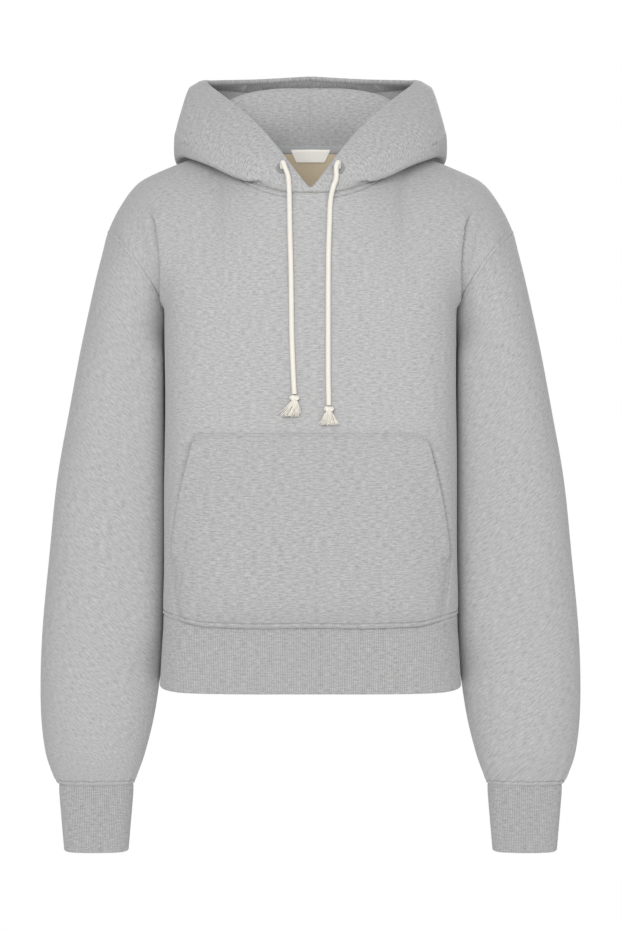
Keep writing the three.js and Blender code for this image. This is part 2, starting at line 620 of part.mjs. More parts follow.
// Strand n fans out from the knot to its own place on an oval, by the golden angle.
function strand(tassel, n) {
  const share = Math.sqrt((n + 0.5) / strandCount);
  const angle = n * Math.PI * (3 - Math.sqrt(5));
  const [across, depth] = [Math.cos(angle) * share, Math.sin(angle) * share];
  const length = tassel.length * (0.86 + 0.14 * Math.cos(5 * n));
  const path = new THREE.CubicBezierCurve3(...strandFan.map((f) =>
    point(across * f.x + tassel.leanX * f.lean, depth * f.y, -length * f.down)));
  const section = new THREE.Shape(steps(0, 2 * Math.PI, 3).slice(0, -1).map((turn) =>
    new THREE.Vector2(Math.cos(turn) * strandSize * 0.5, Math.sin(turn) * strandSize * 0.5)));
  return new THREE.ExtrudeGeometry(section, { steps: 2, bevelEnabled: false, extrudePath: path });
}

function tasselSolid(tassel) {
  const head = new THREE.SphereGeometry(0.5, 10, 6).rotateX(Math.PI / 2).scale(knot.width, knot.depth, knot.height);
  let solid = solidOf(head);
  for (let n = 0; n < strandCount; n += 1) solid = solid.add(solidOf(strand(tassel, n)));
  return geometryOf(solid);
}

for (const [side, sign] of [["left", 1], ["right", -1]]) {
  const path = cordPath(cordRoutes[side]);
  const end = path.getPoint(1);
  const ring = new THREE.Mesh(eyeletRing(), materials.eyelet);
  ring.name = `eyelet_${side}`;
  const mirrorOut = point(eyeletPlace.out.x * sign, eyeletPlace.out.y, eyeletPlace.out.z);
  ring.quaternion.setFromUnitVectors(point(0, 1, 0), mirrorOut);
  ring.position.copy(point(eyeletPlace.at.x * sign, eyeletPlace.at.y, eyeletPlace.at.z))
    .addScaledVector(mirrorOut, eyelet.lift);
  hoodie.add(ring);
  const points = path.points.map((p) => point(p.x * sign, p.y, p.z));
  add(`drawcord_${side}`, cordTube(new THREE.CatmullRomCurve3(points)), materials.cord);
  const tassel = { ...tassels[side], leanX: tassels[side].leanX * sign };
  const tasselMesh = new THREE.Mesh(tasselSolid(tassel), materials.cord);
  tasselMesh.name = `tassel_${side}`;
  tasselMesh.position.set(end.x * sign, end.y - 2, end.z - seamGap - knot.height / 2);
  hoodie.add(tasselMesh);
}

// Inside the neck: a tape over the neck seam, a half-moon patch under it, and a bare woven label on both. Each
// reaches to a line of the back panel on both sides, and lies between two heights, where 2 is the seam.
const tape = { lift: 3.3, thickness: 0.8, reach: 2, from: 1.984, to: 2.018 };
const patch = { lift: 1.8, thickness: 1.2, reach: 3.6, from: 1.5, to: 1.978 };
const label = { lift: 4.7, thickness: 0.6, footReach: 0.57, topReach: 0.79, from: 1.918, to: 2.003 };
const hoodShare = 0.8; // of a hood section's length in a step of height above the seam

// A place on the back panel, or on the back of the hood above the seam.
const backOrHood = (line, height) => (height <= 2
  ? panelPoint(back, line, height) : hoodSection(hoodEnd - line)((height - 2) * hoodShare));

// A grid on the inside of the back, with its outside towards the cloth.
function insideBack(reaches, heights, columns, lift) {
  const flat = heights.map((height, r) => steps(-1, 1, columns).map((share) => {
    const p = backOrHood(Math.abs(share) * reaches[r], height);
    return point(-Math.sign(share) * p.x, p.y, p.z);
  }));
  const away = outwards(flat, false);
  return flat.map((line, r) => line.map((p, c) => p.clone().addScaledVector(away[r][c], -(fleece + lift))));
}

const tapeHeights = steps(tape.from, tape.to, 3);
const tapeReach = tapeHeights.map(() => tape.reach);
add("neck_tape", wall(insideBack(tapeReach, tapeHeights, 12, tape.lift), tape.thickness), materials.tape);

const patchHeights = steps(patch.from, patch.to, 7);
const patchReach = patchHeights.map((_, r) => {
  const down = 1 - (r + 0.5) / (patchHeights.length - 0.5);
  return patch.reach * Math.sqrt(1 - down ** 2);
});
add("neck_patch", wall(insideBack(patchReach, patchHeights, 10, patch.lift), patch.thickness), materials.patch);

const labelHeights = steps(label.from, label.to, 3);
const labelReach = steps(label.footReach, label.topReach, 3);
add("neck_label", wall(insideBack(labelReach, labelHeights, 6, label.lift), label.thickness), materials.label);

export default hoodie;
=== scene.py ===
# Pullover hoodie in grey marl fleece, filled out with nobody in it. The cloth's forms are worked out in millimetres
# from the same tables as the part's, then seams, stitches, creases and the cloth's own surface are added.
import math

import bmesh
import bpy
import numpy as np
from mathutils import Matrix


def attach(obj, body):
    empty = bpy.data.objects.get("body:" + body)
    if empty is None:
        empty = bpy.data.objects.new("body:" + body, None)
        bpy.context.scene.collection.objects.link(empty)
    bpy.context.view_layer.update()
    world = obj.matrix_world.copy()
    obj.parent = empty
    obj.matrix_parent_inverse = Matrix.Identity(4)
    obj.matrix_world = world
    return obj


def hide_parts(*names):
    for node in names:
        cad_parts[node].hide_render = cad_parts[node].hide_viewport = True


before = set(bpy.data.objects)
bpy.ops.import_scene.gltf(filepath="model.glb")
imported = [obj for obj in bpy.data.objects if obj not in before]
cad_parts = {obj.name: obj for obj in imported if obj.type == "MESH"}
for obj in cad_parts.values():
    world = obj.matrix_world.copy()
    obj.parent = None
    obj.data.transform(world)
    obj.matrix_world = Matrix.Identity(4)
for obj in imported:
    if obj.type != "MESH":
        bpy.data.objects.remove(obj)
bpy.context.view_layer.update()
mm = 0.001
scene = bpy.context.scene

print("stage: camera")
viewpoint = {"place": (0.57, -2800, -356), "lens": 95.9, "sensor": 36}
camera = bpy.data.objects.new("camera", bpy.data.cameras.new("camera"))
camera.location = [value * mm for value in viewpoint["place"]]
camera.rotation_euler = (math.radians(90), 0, 0)  # level, towards the back
camera.data.lens = viewpoint["lens"]
camera.data.sensor_width = viewpoint["sensor"]
scene.collection.objects.link(camera)
scene.camera = camera

print("stage: the cloth's forms")
cloth = {
    "fleece": 2.5, "hoodLayer": 2.0, "layerGap": 0.5, "ribWall": 3.5, "seamGap": 0.1,
    "underarmZ": -190, "armholeTopZ": -90, "pocketTopZ": -322,
}


def points(x, y, z):
    return np.stack(np.broadcast_arrays(x, y, z), -1).astype(float)


def unit(vectors):
    return vectors / np.maximum(np.linalg.norm(vectors, axis=-1, keepdims=True), 1e-9)


def smoothRun(knots, rows):  # a smooth run through the rows, each at its knot
    knots, rows = np.array(knots, float), np.array(rows, float)
    flat = rows.reshape(len(knots), -1)
    spans = np.diff(knots)[:, None]
    secants = np.diff(flat, axis=0) / spans
    slopes = np.concatenate([secants[:1], secants[:1].repeat(len(knots) - 2, 0), secants[-1:]])
    slopes[1:-1] = (secants[:-1] * spans[1:] + secants[1:] * spans[:-1]) / (spans[1:] + spans[:-1])

    def at(t):
        t = np.asarray(t, float)
        i = np.clip(np.searchsorted(knots, t) - 1, 0, len(knots) - 2)
        span = (knots[i + 1] - knots[i])[..., None]
        f = (t - knots[i])[..., None] / span
        near = (2 * f**3 - 3 * f**2 + 1) * flat[i] + (f**3 - 2 * f**2 + f) * span * slopes[i]
        far = (3 * f**2 - 2 * f**3) * flat[i + 1] + (f**3 - f**2) * span * slopes[i + 1]
        return (near + far).reshape(t.shape + rows.shape[1:])

    return at


def bezier(a, b, c, d, t):
    return (1 - t) ** 3 * a + 3 * (1 - t) ** 2 * t * b + 3 * (1 - t) * t**2 * c + t**3 * d


torsoSections = [  # height, half width, depth in front, depth behind
    (-606, 168.6, 105.5, 108), (-565, 166.3, 106, 109), (-529, 164.2, 108, 110), (-514, 164.5, 114, 114),
    (-470, 164, 117, 117), (-380, 163, 116, 117), (-280, 162.5, 115, 116), (-190, 162.5, 113, 115),
]
boxiness = {"front": 4.5, "back": 3}
torsoSizes = smoothRun([row[0] for row in torsoSections], [row[1:] for row in torsoSections])


def torsoPoint(turn, z):  # turn in degrees from the centre front (0) by the side (90) to the back (180)
    turn, z = np.broadcast_arrays(np.radians(turn), np.asarray(z, float))
    half, front, back = np.moveaxis(torsoSizes(z), -1, 0)
    side, depth = np.sin(turn), np.cos(turn)
    power = np.where(depth >= 0, boxiness["front"], boxiness["back"])
    reach = (abs(side) / half) ** power + (abs(depth) / np.where(depth >= 0, front, back)) ** power
    r = reach ** (-1 / power)
    return points(r * side, -r * depth, z)


hemHeights = [  # turn, then the heights of the hem seam and of the hem's lower edge
    (0, -533, -605.4), (42, -532.8, -605.3), (51, -531.2, -605.1), (54.5, -528.8, -604.9), (58, -526.3, -604.6),
    (69.5, -523, -602.6), (90, -522.4, -601.4), (125, -524.5, -601.3), (180, -527, -601.3),
]
hemRun = smoothRun([row[0] for row in hemHeights], [row[1:] for row in hemHeights])


def hemAt(turn):
    return np.moveaxis(hemRun(np.minimum(turn, 360 - np.asarray(turn))), -1, 0)


frontLines = [  # turn at the underarm's height, the way up from there, the way back from the top, the top
    (0, (0, 0, 50), (0, -4, -35), (0, -108, -60)),
    (12.5, (0, 0, 52), (0, -6, -30), (28, -104, -59)),
    (23.9, (0, 0, 55), (1, -11, -26), (57, -92, -50)),
    (32.6, (0, 0, 58), (3, -22, -20), (80, -68, -35)),
    (39.7, (0, 0, 60), (6, -36, -14), (94, -36, -15)),
    (44.8, (0, -1, 60), (8, -50, -8), (99, 0, 2)),
    (49.7, (1, -1, 60), (3, -58, 0), (135, 0, -11)),
    (54.6, (4, -3, 56), (0, -60, 2), (171, 0, -25.6)),
    (59.6, (4, -4, 52), (-3, -58, 1), (196, 0, -39.2)),
    (67.9, (-1, -7, 40), (-6, -66, 0), (216, 0, -66)),
    (90, (-5, -85, 18), (-17, -85, -9), (228.5, 0, -90)),
]
backLines = [
    (180, (0, 1, 70), (0, 22, -52), (0, 88, 12)),
    (166, (0, 1, 70), (0, 24, -50), (30, 84, 11.5)),
    (153, (0, 1, 70), (1, 32, -46), (58, 70, 10.5)),
    (142, (0, 1, 68), (3, 44, -38), (80, 47, 8.5)),
    (134, (1, 2, 66), (6, 54, -28), (93, 24, 5.5)),
    (129, (1, 3, 64), (8, 60, -16), (99, 0, 2)),
    (124, (2, 3, 62), (3, 62, -4), (135, 0, -11)),
    (120, (4, 4, 58), (0, 62, -2), (171, 0, -25.6)),
    (115, (4, 5, 54), (-3, 60, -1), (196, 0, -39.2)),
    (108, (-1, 8, 42), (-6, 66, 0), (216, 0, -66)),
    (90, (-5, 85, 18), (-17, 85, -9), (228.5, 0, -90)),
]
neckLine, armLine = 5, 10  # where neckline and shoulder meet, and the armhole


def spread(lines):
    return smoothRun(range(len(lines)), [[turn, *rise, *lean, *top] for turn, rise, lean, top in lines])


frontPanel, backPanel = spread(frontLines), spread(backLines)


def panelPoint(panel, line, v):  # line 0 to 10, v from 0 at the hem seam by 1 at the underarm to 2 at the top
    line, v = np.broadcast_arrays(np.asarray(line, float), np.asarray(v, float))
    numbers = panel(line)
    turn, rise, lean, top = numbers[..., 0], numbers[..., 1:4], numbers[..., 4:7], numbers[..., 7:].copy()
    top[..., 1] = np.where(line < neckLine, top[..., 1], 0)
    foot = torsoPoint(turn, cloth["underarmZ"])
    fan = bezier(foot, foot + rise, top + lean, top, np.clip(v - 1, 0, 1)[..., None])
    seamZ = hemAt(turn)[0]
    straight = torsoPoint(turn, seamZ + (cloth["underarmZ"] - seamZ) * np.clip(v, 0, 1))
    return np.where((v <= 1)[..., None], straight, fan)


sleeveRings = [  # outer edge x and z, inner edge x and z, depth in front, depth behind
    (241, -142, 166.5, -226, 57, 56), (256.5, -214, 166, -276, 54, 54), (273.5, -300, 164.8, -336, 52, 53),
    (288, -391, 164.9, -408, 50, 52), (298, -486, 165.8, -492, 49, 51), (304, -567, 167.5, -567, 48, 50),
    (304.5, -632, 175.5, -632, 46, 48), (299.5, -678, 186.5, -678, 40, 42), (291, -704, 195, -704, 31, 32),
    (284.5, -716, 200, -716, 24.5, 25.5),
]
cuffRings = [(283.5, -716.1, 200.5, -716.1, 24, 24.5), (282.5, -732, 201.5, -732, 24, 24.5),
             (277.5, -791, 206.5, -791, 22.5, 23)]
sleeveRoundness = 2.25
armholeAxis = np.array([0.86, 0, -0.51])


def ringPoint(ring, turn):  # turn from the outer edge (0) by the front (90) to the inner edge (180)
    outerX, outerZ, innerX, innerZ, front, back = ring
    across, along = np.cos(np.radians(turn)), np.sin(np.radians(turn))
    shareX = np.sign(across) * abs(across) ** (2 / sleeveRoundness)
    shareY = np.sign(along) * abs(along) ** (2 / sleeveRoundness)
    return points((outerX + innerX) / 2 + (outerX - innerX) / 2 * shareX,
                  -np.where(along >= 0, front, back) * shareY,
                  (outerZ + innerZ) / 2 + (outerZ - innerZ) / 2 * shareX)


def sleevePoint(turn, t):  # t runs from 0 at the armhole to 10 at the cuff seam
    turn = np.asarray(turn, float)
    overFront = panelPoint(frontPanel, armLine, 2 - np.minimum(turn, 180) / 180)
    overBack = panelPoint(backPanel, armLine, 1 + np.maximum(turn - 180, 0) / 180)
    armhole = np.where((turn <= 180)[:, None], overFront, overBack) + armholeAxis * cloth["seamGap"]
    rows = [armhole, *(ringPoint(ring, turn) for ring in sleeveRings)]
    return smoothRun(range(len(rows)), rows)(t)


hoodSections = [  # place round the neck, then near, crest, fall, bag, out, top and rim
    (0, (0, -108.4, -59.4), (0, -108.8, -58.7), (0, -109.1, -58), (0, -109.5, -57.3), (0, -109.8, -56.6),
     (0, -110.1, -55.8), (0, -110.4, -55)),
    (0.7, (19.8, -107.5, -58), (19.4, -108.5, -55), (18.8, -109.2, -52), (18, -109.5, -48.5), (17, -109, -45),
     (15.5, -107, -41), (13.5, -104, -37)),
    (1.5, (43, -101, -54), (43.5, -102.5, -52), (44, -104, -49), (44, -105, -44), (41, -104.5, -35),
     (35, -101, -25), (28.5, -94, -16)),
    (2.4, (69, -84.5, -43), (71.5, -87, -42), (74, -89.5, -40.5), (79, -92, -36), (81, -88, -20),
     (67, -82, -3), (50, -72, 12)),
    (3.4, (92, -57, -24.5), (98, -60.5, -25), (104, -64, -23.5), (114, -69, -20.5), (122, -60, -2),
     (101, -52, 23), (74, -47, 38)),
    (4.5, (105, -18, -1), (113, -20.5, -2), (123, -24.5, -6), (142, -32, -9.5), (148, -22, 16),
     (128, -16, 47), (97, -14, 60)),
    (5.8, (104, 26, 22), (112, 30, 36), (122, 34, 16), (152.5, 34, -13), (153.5, 34, 18), (139.5, 32, 72),
     (119, 28, 82.5)),
    (7.3, (79, 56, 36), (85, 62, 64), (98, 78, 46), (118, 108, -26), (137, 112, 20), (128.5, 90, 83.5),
     (110, 74, 91)),
    (8.7, (41, 71, 45), (46, 76, 75.5), (51, 94, 54), (64, 138, -50), (73, 156, 20), (68, 138, 91.3),
     (60, 124, 100.3)),
    (10, (0, 78, 48), (0, 82, 78.5), (0, 102, 56), (0, 148, -58), (0, 170, 15), (0, 152, 95.3), (0, 140, 106.3)),
]
hoodKnots = [0, 0.13, 0.25, 0.38, 0.57, 0.71, 0.87, 1]
hoodEnd = 10
hoodRun = smoothRun([row[0] for row in hoodSections], [row[1:] for row in hoodSections])


def neckPoint(around):
    around = np.asarray(around, float)
    before = panelPoint(frontPanel, np.minimum(around, neckLine), 2)
    behind = panelPoint(backPanel, np.minimum(hoodEnd - around, neckLine), 2)
    return np.where((around <= neckLine)[..., None], before, behind)


def hoodPoint(around, w):  # w runs from 0 at the neck seam to 1 at the rim
    around = np.atleast_1d(np.asarray(around, float))
    neck = neckPoint(around) + np.array([0, 0, cloth["seamGap"]])
    bends = np.concatenate([neck[None], np.moveaxis(hoodRun(around), 1, 0)])
    return smoothRun(hoodKnots, bends)(w)


def placeOn(surface, rangeA, rangeB, x, z):  # where a surface has this x and z, and its direction outwards there
    a, b = np.linspace(*rangeA, 61), np.linspace(*rangeB, 61)
    grid = surface(a, b)
    row, column = divmod(np.hypot(grid[..., 0] - x, grid[..., 2] - z).argmin(), 61)
    place, step = np.array([a[column], b[row]]), 1e-3

    def at(i, j):
        return surface(np.array([i]), np.array([j]))[0, 0]

    for _ in range(5):
        here = at(*place)
        turns = np.array([at(place[0] + step, place[1]) - here, at(place[0], place[1] + step) - here]) / step
        place = place + np.linalg.solve(turns[:, [0, 2]].T, np.array([x, z]) - here[[0, 2]])
        place = np.clip(place, [rangeA[0], rangeB[0]], [rangeA[1], rangeB[1]])
    return at(*place), unit(np.cross(turns[0], turns[1]))


def frontAt(x, z):  # the front below the underarm, at a distance from the centre line and a height
    half, depth, _ = np.moveaxis(torsoSizes(z), -1, 0)
    share = 1 - (abs(x) / half) ** boxiness["front"]
    return points(x, -depth * share ** (1 / boxiness["front"]), z)


print("stage: cloth tools")


def outwards(grid, closed=False):
    if closed:
        across = np.roll(grid, -1, 1) - np.roll(grid, 1, 1)
    else:
        across = np.gradient(grid, axis=1)
    return unit(np.cross(across, np.gradient(grid, axis=0)))


def runAlong(grid, axis):  # how far along the rows or columns each point lies
    lengths = np.linalg.norm(np.diff(grid, axis=axis), axis=-1)
    first = np.zeros_like(np.take(grid[..., 0], [0], axis))
    return np.concatenate([first, np.cumsum(lengths, axis)], axis)


def edgeRows(grid, low, high, count, trim=0):  # rows at real distances from both ends, and evenly between
    run = runAlong(grid, 0)
    total = run[-1] - np.minimum(trim, run[-1] * 0.6)
    low, high = np.array(low, float)[:, None], np.array(high, float)[::-1, None]
    share = np.minimum(1, total * 0.45 / max(low[-1, 0], high[0, 0], 1e-3))
    low, high = low * share, total - high * share
    between = low[-1] + (high[0] - low[-1]) * np.arange(1, count)[:, None] / count
    wanted = np.concatenate([low, between, high])
    columns = [[np.interp(wanted[:, c], run[:, c], grid[:, c, k]) for k in range(3)] for c in range(grid.shape[1])]
    return np.array(columns).transpose(2, 0, 1)


def edgeColumns(grid, low, high, count):
    return edgeRows(grid.swapaxes(0, 1), low, high, count).swapaxes(0, 1)


def smoothstep(x):
    x = np.clip(x, 0, 1)
    return x * x * (3 - 2 * x)


seam = {"rows": [0, 0.5, 1.1, 1.8, 2.8, 4.2], "dip": 1.0, "reach": 1.5, "inner": 0.7}
pressed = {"dip": 0.7, "line": 0.4}  # shares of a seam's dip and of a stitch line's depth
stitchLine = {"place": 5.4, "depth": 1.5, "reach": 0.65, "crown": 0.45}
stitchedRows = [0, 0.5, 1.1, 1.8, 2.8, 3.8, 4.5, 5, 5.4, 5.8, 6.3, 7, 8.2, 10]


def foldRows(wall):  # distances from a folded edge that make it round
    radius = wall / 2
    return [*(radius * (1 - np.cos(np.radians(np.arange(0, 91, 18))))), radius * 1.8, radius * 3]


def bell(distance, reach):
    return np.exp(-((distance / reach) ** 2))


def grow(distance, kind, wall, strength=1):  # how an edge moves the outer and the inner side
    if kind == "plain":
        return 0 * distance, 0 * distance
    if kind == "fold":
        half = wall / 2
        pinch = half * (1 - np.sqrt(1 - (1 - np.clip(distance / half, 0, 1)) ** 2))
        return -pinch, pinch
    dip = bell(distance, seam["reach"])
    outer = -seam["dip"] * (pressed["dip"] if kind == "pressed" else 1) * dip
    line = stitchLine["depth"] * bell(distance - stitchLine["place"], stitchLine["reach"])
    if kind == "pressed":
        outer = outer - pressed["line"] * line
    if kind == "stitched":
        between = np.clip(distance / stitchLine["place"], 0, 1)
        outer = outer + strength * (stitchLine["crown"] * np.sin(math.pi * between) ** 2 - line)
    return outer, seam["inner"] * dip


def meshObject(name, vertices, faces, uvs=None):  # millimetres in, metres out
    mesh = bpy.data.meshes.new(name)
    mesh.from_pydata((np.asarray(vertices) * mm).tolist(), [], [list(face) for face in faces])
    if uvs is not None:
        layer = mesh.uv_layers.new(name="cloth")
        layer.data.foreach_set("uv", (np.asarray(uvs, float) * mm).ravel())
    mesh.shade_smooth()
    piece = bpy.data.objects.new(name, mesh)
    scene.collection.objects.link(piece)
    return piece


def reworked(piece, change):  # runs a change on the piece's mesh
    work = bmesh.new()
    work.from_mesh(piece.data)
    change(work)
    work.to_mesh(piece.data)
    work.free()


def mergeEdges(work):  # joins the points of both sides where they meet in an edge
    bmesh.ops.remove_doubles(work, verts=work.verts, dist=0.01 * mm)


def shell(name, grid, wall, edges, closed=False, steer=None, turned=False, shift=(0, 0), extra=0, even=False):
    # a closed wall of cloth with the grid as its outside; edges says how each of low, high, left and right ends
    up, across = runAlong(grid, 0), runAlong(grid, 1)
    distances = {"low": up, "high": up[-1] - up, "left": across, "right": across[:, -1:] - across}
    outer, inner = np.zeros(grid.shape[:2]), np.zeros(grid.shape[:2]) - wall - extra
    for side, kind in edges.items():
        kind, strength, thick = kind if isinstance(kind, tuple) else (kind, 1, wall)
        movedOut, movedIn = grow(distances[side], kind, thick, strength)
        outer, inner = outer + movedOut, inner + movedIn
    inner = np.minimum(inner, outer)
    normals = outwards(grid, closed)
    direction = steer(normals, grid, distances) if steer else normals
    outside, inward = grid + direction * outer[..., None], grid + direction * inner[..., None]
    rows, columns = grid.shape[:2]
    spans = columns if closed else columns - 1
    r, c = np.meshgrid(np.arange(rows - 1), np.arange(spans), indexing="ij")
    corners = [(r, c), (r, c + 1), (r + 1, c + 1), (r + 1, c)]
    a, b, d, e = ((row * columns + column % columns).ravel() for row, column in corners)
    size = rows * columns
    faces = [np.stack([a, b, d, e], -1), np.stack([a, e, d, b], -1) + size]
    wrap = np.concatenate([across, across[:, -1:] + np.linalg.norm(grid[:, :1] - grid[:, -1:], axis=-1)], 1)
    wrap = wrap if closed else across
    share = wrap / wrap[:, -1:] - 0.5 * (not closed)
    middle = share * (wrap[:, -1].max() if even else wrap[:, -1:])
    rise = np.concatenate([up, up[:, :1]], 1) if closed else up
    uv = np.stack([rise, middle] if turned else [middle, rise], -1) + np.array(shift)
    picked = [uv[row.ravel(), column.ravel()] for row, column in corners]
    uvs = [np.stack([picked[n] for n in order], 1) for order in ((0, 1, 2, 3), (0, 3, 2, 1))]
    ring, upward = np.arange(spans + 1) % columns, np.arange(rows) * columns
    rims = [(ring, uv[0, : spans + 1], True), ((rows - 1) * columns + ring, uv[-1, : spans + 1], False)]
    if not closed:
        rims += [(upward, uv[:, 0], False), (upward + columns - 1, uv[:, -1], True)]
    for edge, edgeUv, flip in rims:  # closes each edge between the outer and the inner side
        far = edge + size
        quad = [edge[:-1], far[:-1], far[1:], edge[1:]] if flip else [edge[:-1], edge[1:], far[1:], far[:-1]]
        faces.append(np.stack(quad, -1))
        first, second = edgeUv[:-1], edgeUv[1:]
        uvs.append(np.stack([first, first, second, second] if flip else [first, second, second, first], 1))
    piece = meshObject(name, np.concatenate([outside.reshape(-1, 3), inward.reshape(-1, 3)]),
                       np.concatenate(faces), np.concatenate(uvs).reshape(-1, 2))
    reworked(piece, mergeEdges)
    piece.data.set_sharp_from_angle(angle=math.radians(55))
    diagonals = outside[1:, 1:] - outside[:-1, :-1], outside[1:, :-1] - outside[:-1, 1:]
    cell = np.linalg.norm(np.cross(*diagonals), axis=-1) / 2
    flat = (wrap[:, -1].max() * mm, up[-1].max() * mm)
    area = min(float(cell.sum()) * mm * mm * (1 + 1 / (columns - 1) * closed), flat[0] * flat[1])
    return {"piece": piece, "outside": outside, "direction": direction, "distances": distances, "flat": flat,
            "area": area}


def mirrored(grid):
    return (grid * np.array([-1, 1, 1]))[:, ::-1]


creaseSteps = 60  # places along a crease's path


def crease(grid, normals, path, depth, width, ridge=0.4, sharp=None, facing=-1, ends=(0.15, 0.4)):
    # a soft fold, its path in x and z, drawn on the cloth as seen from the front (facing -1) or the back (1)
    side = normals[..., 1] * facing > 0.05
    line = smoothRun(np.linspace(0, 1, len(path)), path)(np.linspace(0, 1, creaseSteps))
    flatGrid = grid[..., [0, 2]]
    course = np.zeros((creaseSteps, 3))
    course[:, [0, 2]] = line
    for n, place in enumerate(line):
        miss = np.where(side, np.linalg.norm(flatGrid - place, axis=-1), 1e6)
        nearest = np.argsort(miss, axis=None)[:4]
        weights = 1 / (miss.flat[nearest] + 0.5)
        course[n, 1] = (grid[..., 1].flat[nearest] * weights).sum() / weights.sum()
    padded = np.pad(course[:, 1], 4, "edge")
    course[:, 1] = np.convolve(padded, np.ones(9) / 9, "valid")
    tangents = unit(np.gradient(course, axis=0))
    moved = np.zeros(grid.shape[:2])
    near = side & (np.linalg.norm(flatGrid[..., None, :] - line[::6], axis=-1).min(-1) < width * 4 + 12)
    spots = grid[near]
    offset = spots[:, None] - course
    gap = np.linalg.norm(offset, axis=-1)
    best = gap.argmin(1)
    picked = np.arange(len(best)), best
    sign = np.sign((np.cross(normals[near], tangents[best]) * offset[picked]).sum(-1))
    signed = gap[picked] * sign
    along = best / (creaseSteps - 1)
    fade = smoothstep(along / max(ends[0], 1e-3)) * smoothstep((1 - along) / max(ends[1], 1e-3))
    blend = smoothstep(0.5 + signed / (2 * (sharp or width * 0.7)))
    shape = ridge * bell(signed, 1.8 * width) * (1 - blend) - bell(signed, width) * blend
    moved[near] = depth * fade * shape
    return moved[..., None] * normals


def drape(grid, normals, height, seed):  # the cloth's slight unevenness
    x, y, z = np.moveaxis(grid, -1, 0)
    broad = np.sin(x / 31 + z / 83 + seed) * np.sin(z / 47 - y / 39 + 2.1 * seed)
    wave = broad + 0.6 * np.sin(x / 17 - z / 29 + y / 21 + seed)
    return (height * 0.6 * wave)[..., None] * normals


print("stage: materials")


def toLinear(code):  # an sRGB colour as #rrggbb
    channels = [int(code[i:i + 2], 16) / 255 for i in (1, 3, 5)]
    return (*(c / 12.92 if c <= 0.04045 else ((c + 0.055) / 1.055) ** 2.4 for c in channels), 1)


def addNode(tree, kind, inputs=None, **settings):  # inputs are values, or sockets to link from
    node = tree.nodes.new(kind)
    for name, value in settings.items():
        setattr(node, name, value)
    for name, value in (inputs or {}).items():
        socket = node.inputs[name]
        if isinstance(value, bpy.types.NodeSocket):
            tree.links.new(value, socket)
        else:
            socket.default_value = value
    return node


def newMaterial(name, roughness, sheen=0.0, colour=None):
    material = bpy.data.materials.new(name)
    material.use_nodes = True
    shader = material.node_tree.nodes["Principled BSDF"]
    shader.inputs["Roughness"].default_value = roughness
    shader.inputs["Sheen Weight"].default_value = sheen
    shader.inputs["Sheen Roughness"].default_value = 0.6
    if colour:
        shader.inputs["Base Color"].default_value = toLinear(colour)
    return material, material.node_tree, shader


def streaks(tree, size, detail=3.0, roughness=0.6, offset=(0, 0, 0)):  # noise stretched along the cloth, size in mm
    place = addNode(tree, "ShaderNodeUVMap", uv_map="cloth")
    scale = (1 / (size[0] * mm), 1 / (size[1] * mm), 1)
    stretch = addNode(tree, "ShaderNodeMapping", {"Vector": place.outputs["UV"], "Scale": scale, "Location": offset})
    noise = addNode(tree, "ShaderNodeTexNoise", {
        "Vector": stretch.outputs["Vector"], "Scale": 1.0, "Detail": detail, "Roughness": roughness})
    return noise.outputs["Fac"]


def mixFactor(tree, a, b, share):
    mix = addNode(tree, "ShaderNodeMix", {"Factor": share, 2: a, 3: b}, data_type="FLOAT")
    return mix.outputs[0]


def ramp(tree, tone, *stops):  # colours between two stops, each a position and a colour
    colour = addNode(tree, "ShaderNodeValToRGB", {"Fac": tone})
    for element, (position, code) in zip(colour.color_ramp.elements, stops):
        element.position, element.color = position, toLinear(code)
    return colour.outputs["Color"]


def link(tree, shader, tint, height, strength, distance):  # gives a shader its colour and its fine relief
    tree.links.new(tint, shader.inputs["Base Color"])
    relief = addNode(tree, "ShaderNodeBump", {"Height": height, "Strength": strength, "Distance": distance * mm})
    tree.links.new(relief.outputs["Normal"], shader.inputs["Normal"])


marl = {"fibre": (2.6, 0.6), "ramp": (0.37, 0.63), "nap": (0.9, 0.9), "waleShade": 0.14}  # sizes in mm; waleShade is the share of painted shade between a rib's wales


def marlMaterial(name, dark, light, wale=None, streak=(7.5, 1.5)):
    material, tree, shader = newMaterial(name, 0.95, 0.25)
    broad = streaks(tree, streak)  # dyed and white fibres spun together show as short streaks across the cloth
    fine = streaks(tree, marl["fibre"], 2.0, 0.7, (31, 17, 0))
    low, high = marl["ramp"]
    tint = ramp(tree, mixFactor(tree, broad, fine, 0.45), (low, dark), (high, light))
    if wale:  # painted shade, darkest in the troughs between the knit's raised wales
        place = addNode(tree, "ShaderNodeUVMap", uv_map="cloth")
        across = addNode(tree, "ShaderNodeSeparateXYZ", {"Vector": place.outputs["UV"]})
        turn = addNode(tree, "ShaderNodeMath", {0: across.outputs["X"], 1: 2 * math.pi / wale}, operation="MULTIPLY")
        wave = addNode(tree, "ShaderNodeMath", {0: turn.outputs[0]}, operation="COSINE")
        depth = marl["waleShade"]
        shade = addNode(tree, "ShaderNodeMath", {0: wave.outputs[0], 1: depth, 2: 1 - depth}, operation="MULTIPLY_ADD")
        tint = addNode(tree, "ShaderNodeHueSaturation", {"Color": tint, "Value": shade.outputs[0]}).outputs["Color"]
    nap = streaks(tree, marl["nap"], 3.0, 0.75, (5, 9, 0))  # the jersey face's short, soft nap
    link(tree, shader, tint, mixFactor(tree, nap, fine, 0.4), 0.35, 0.6)
    return material


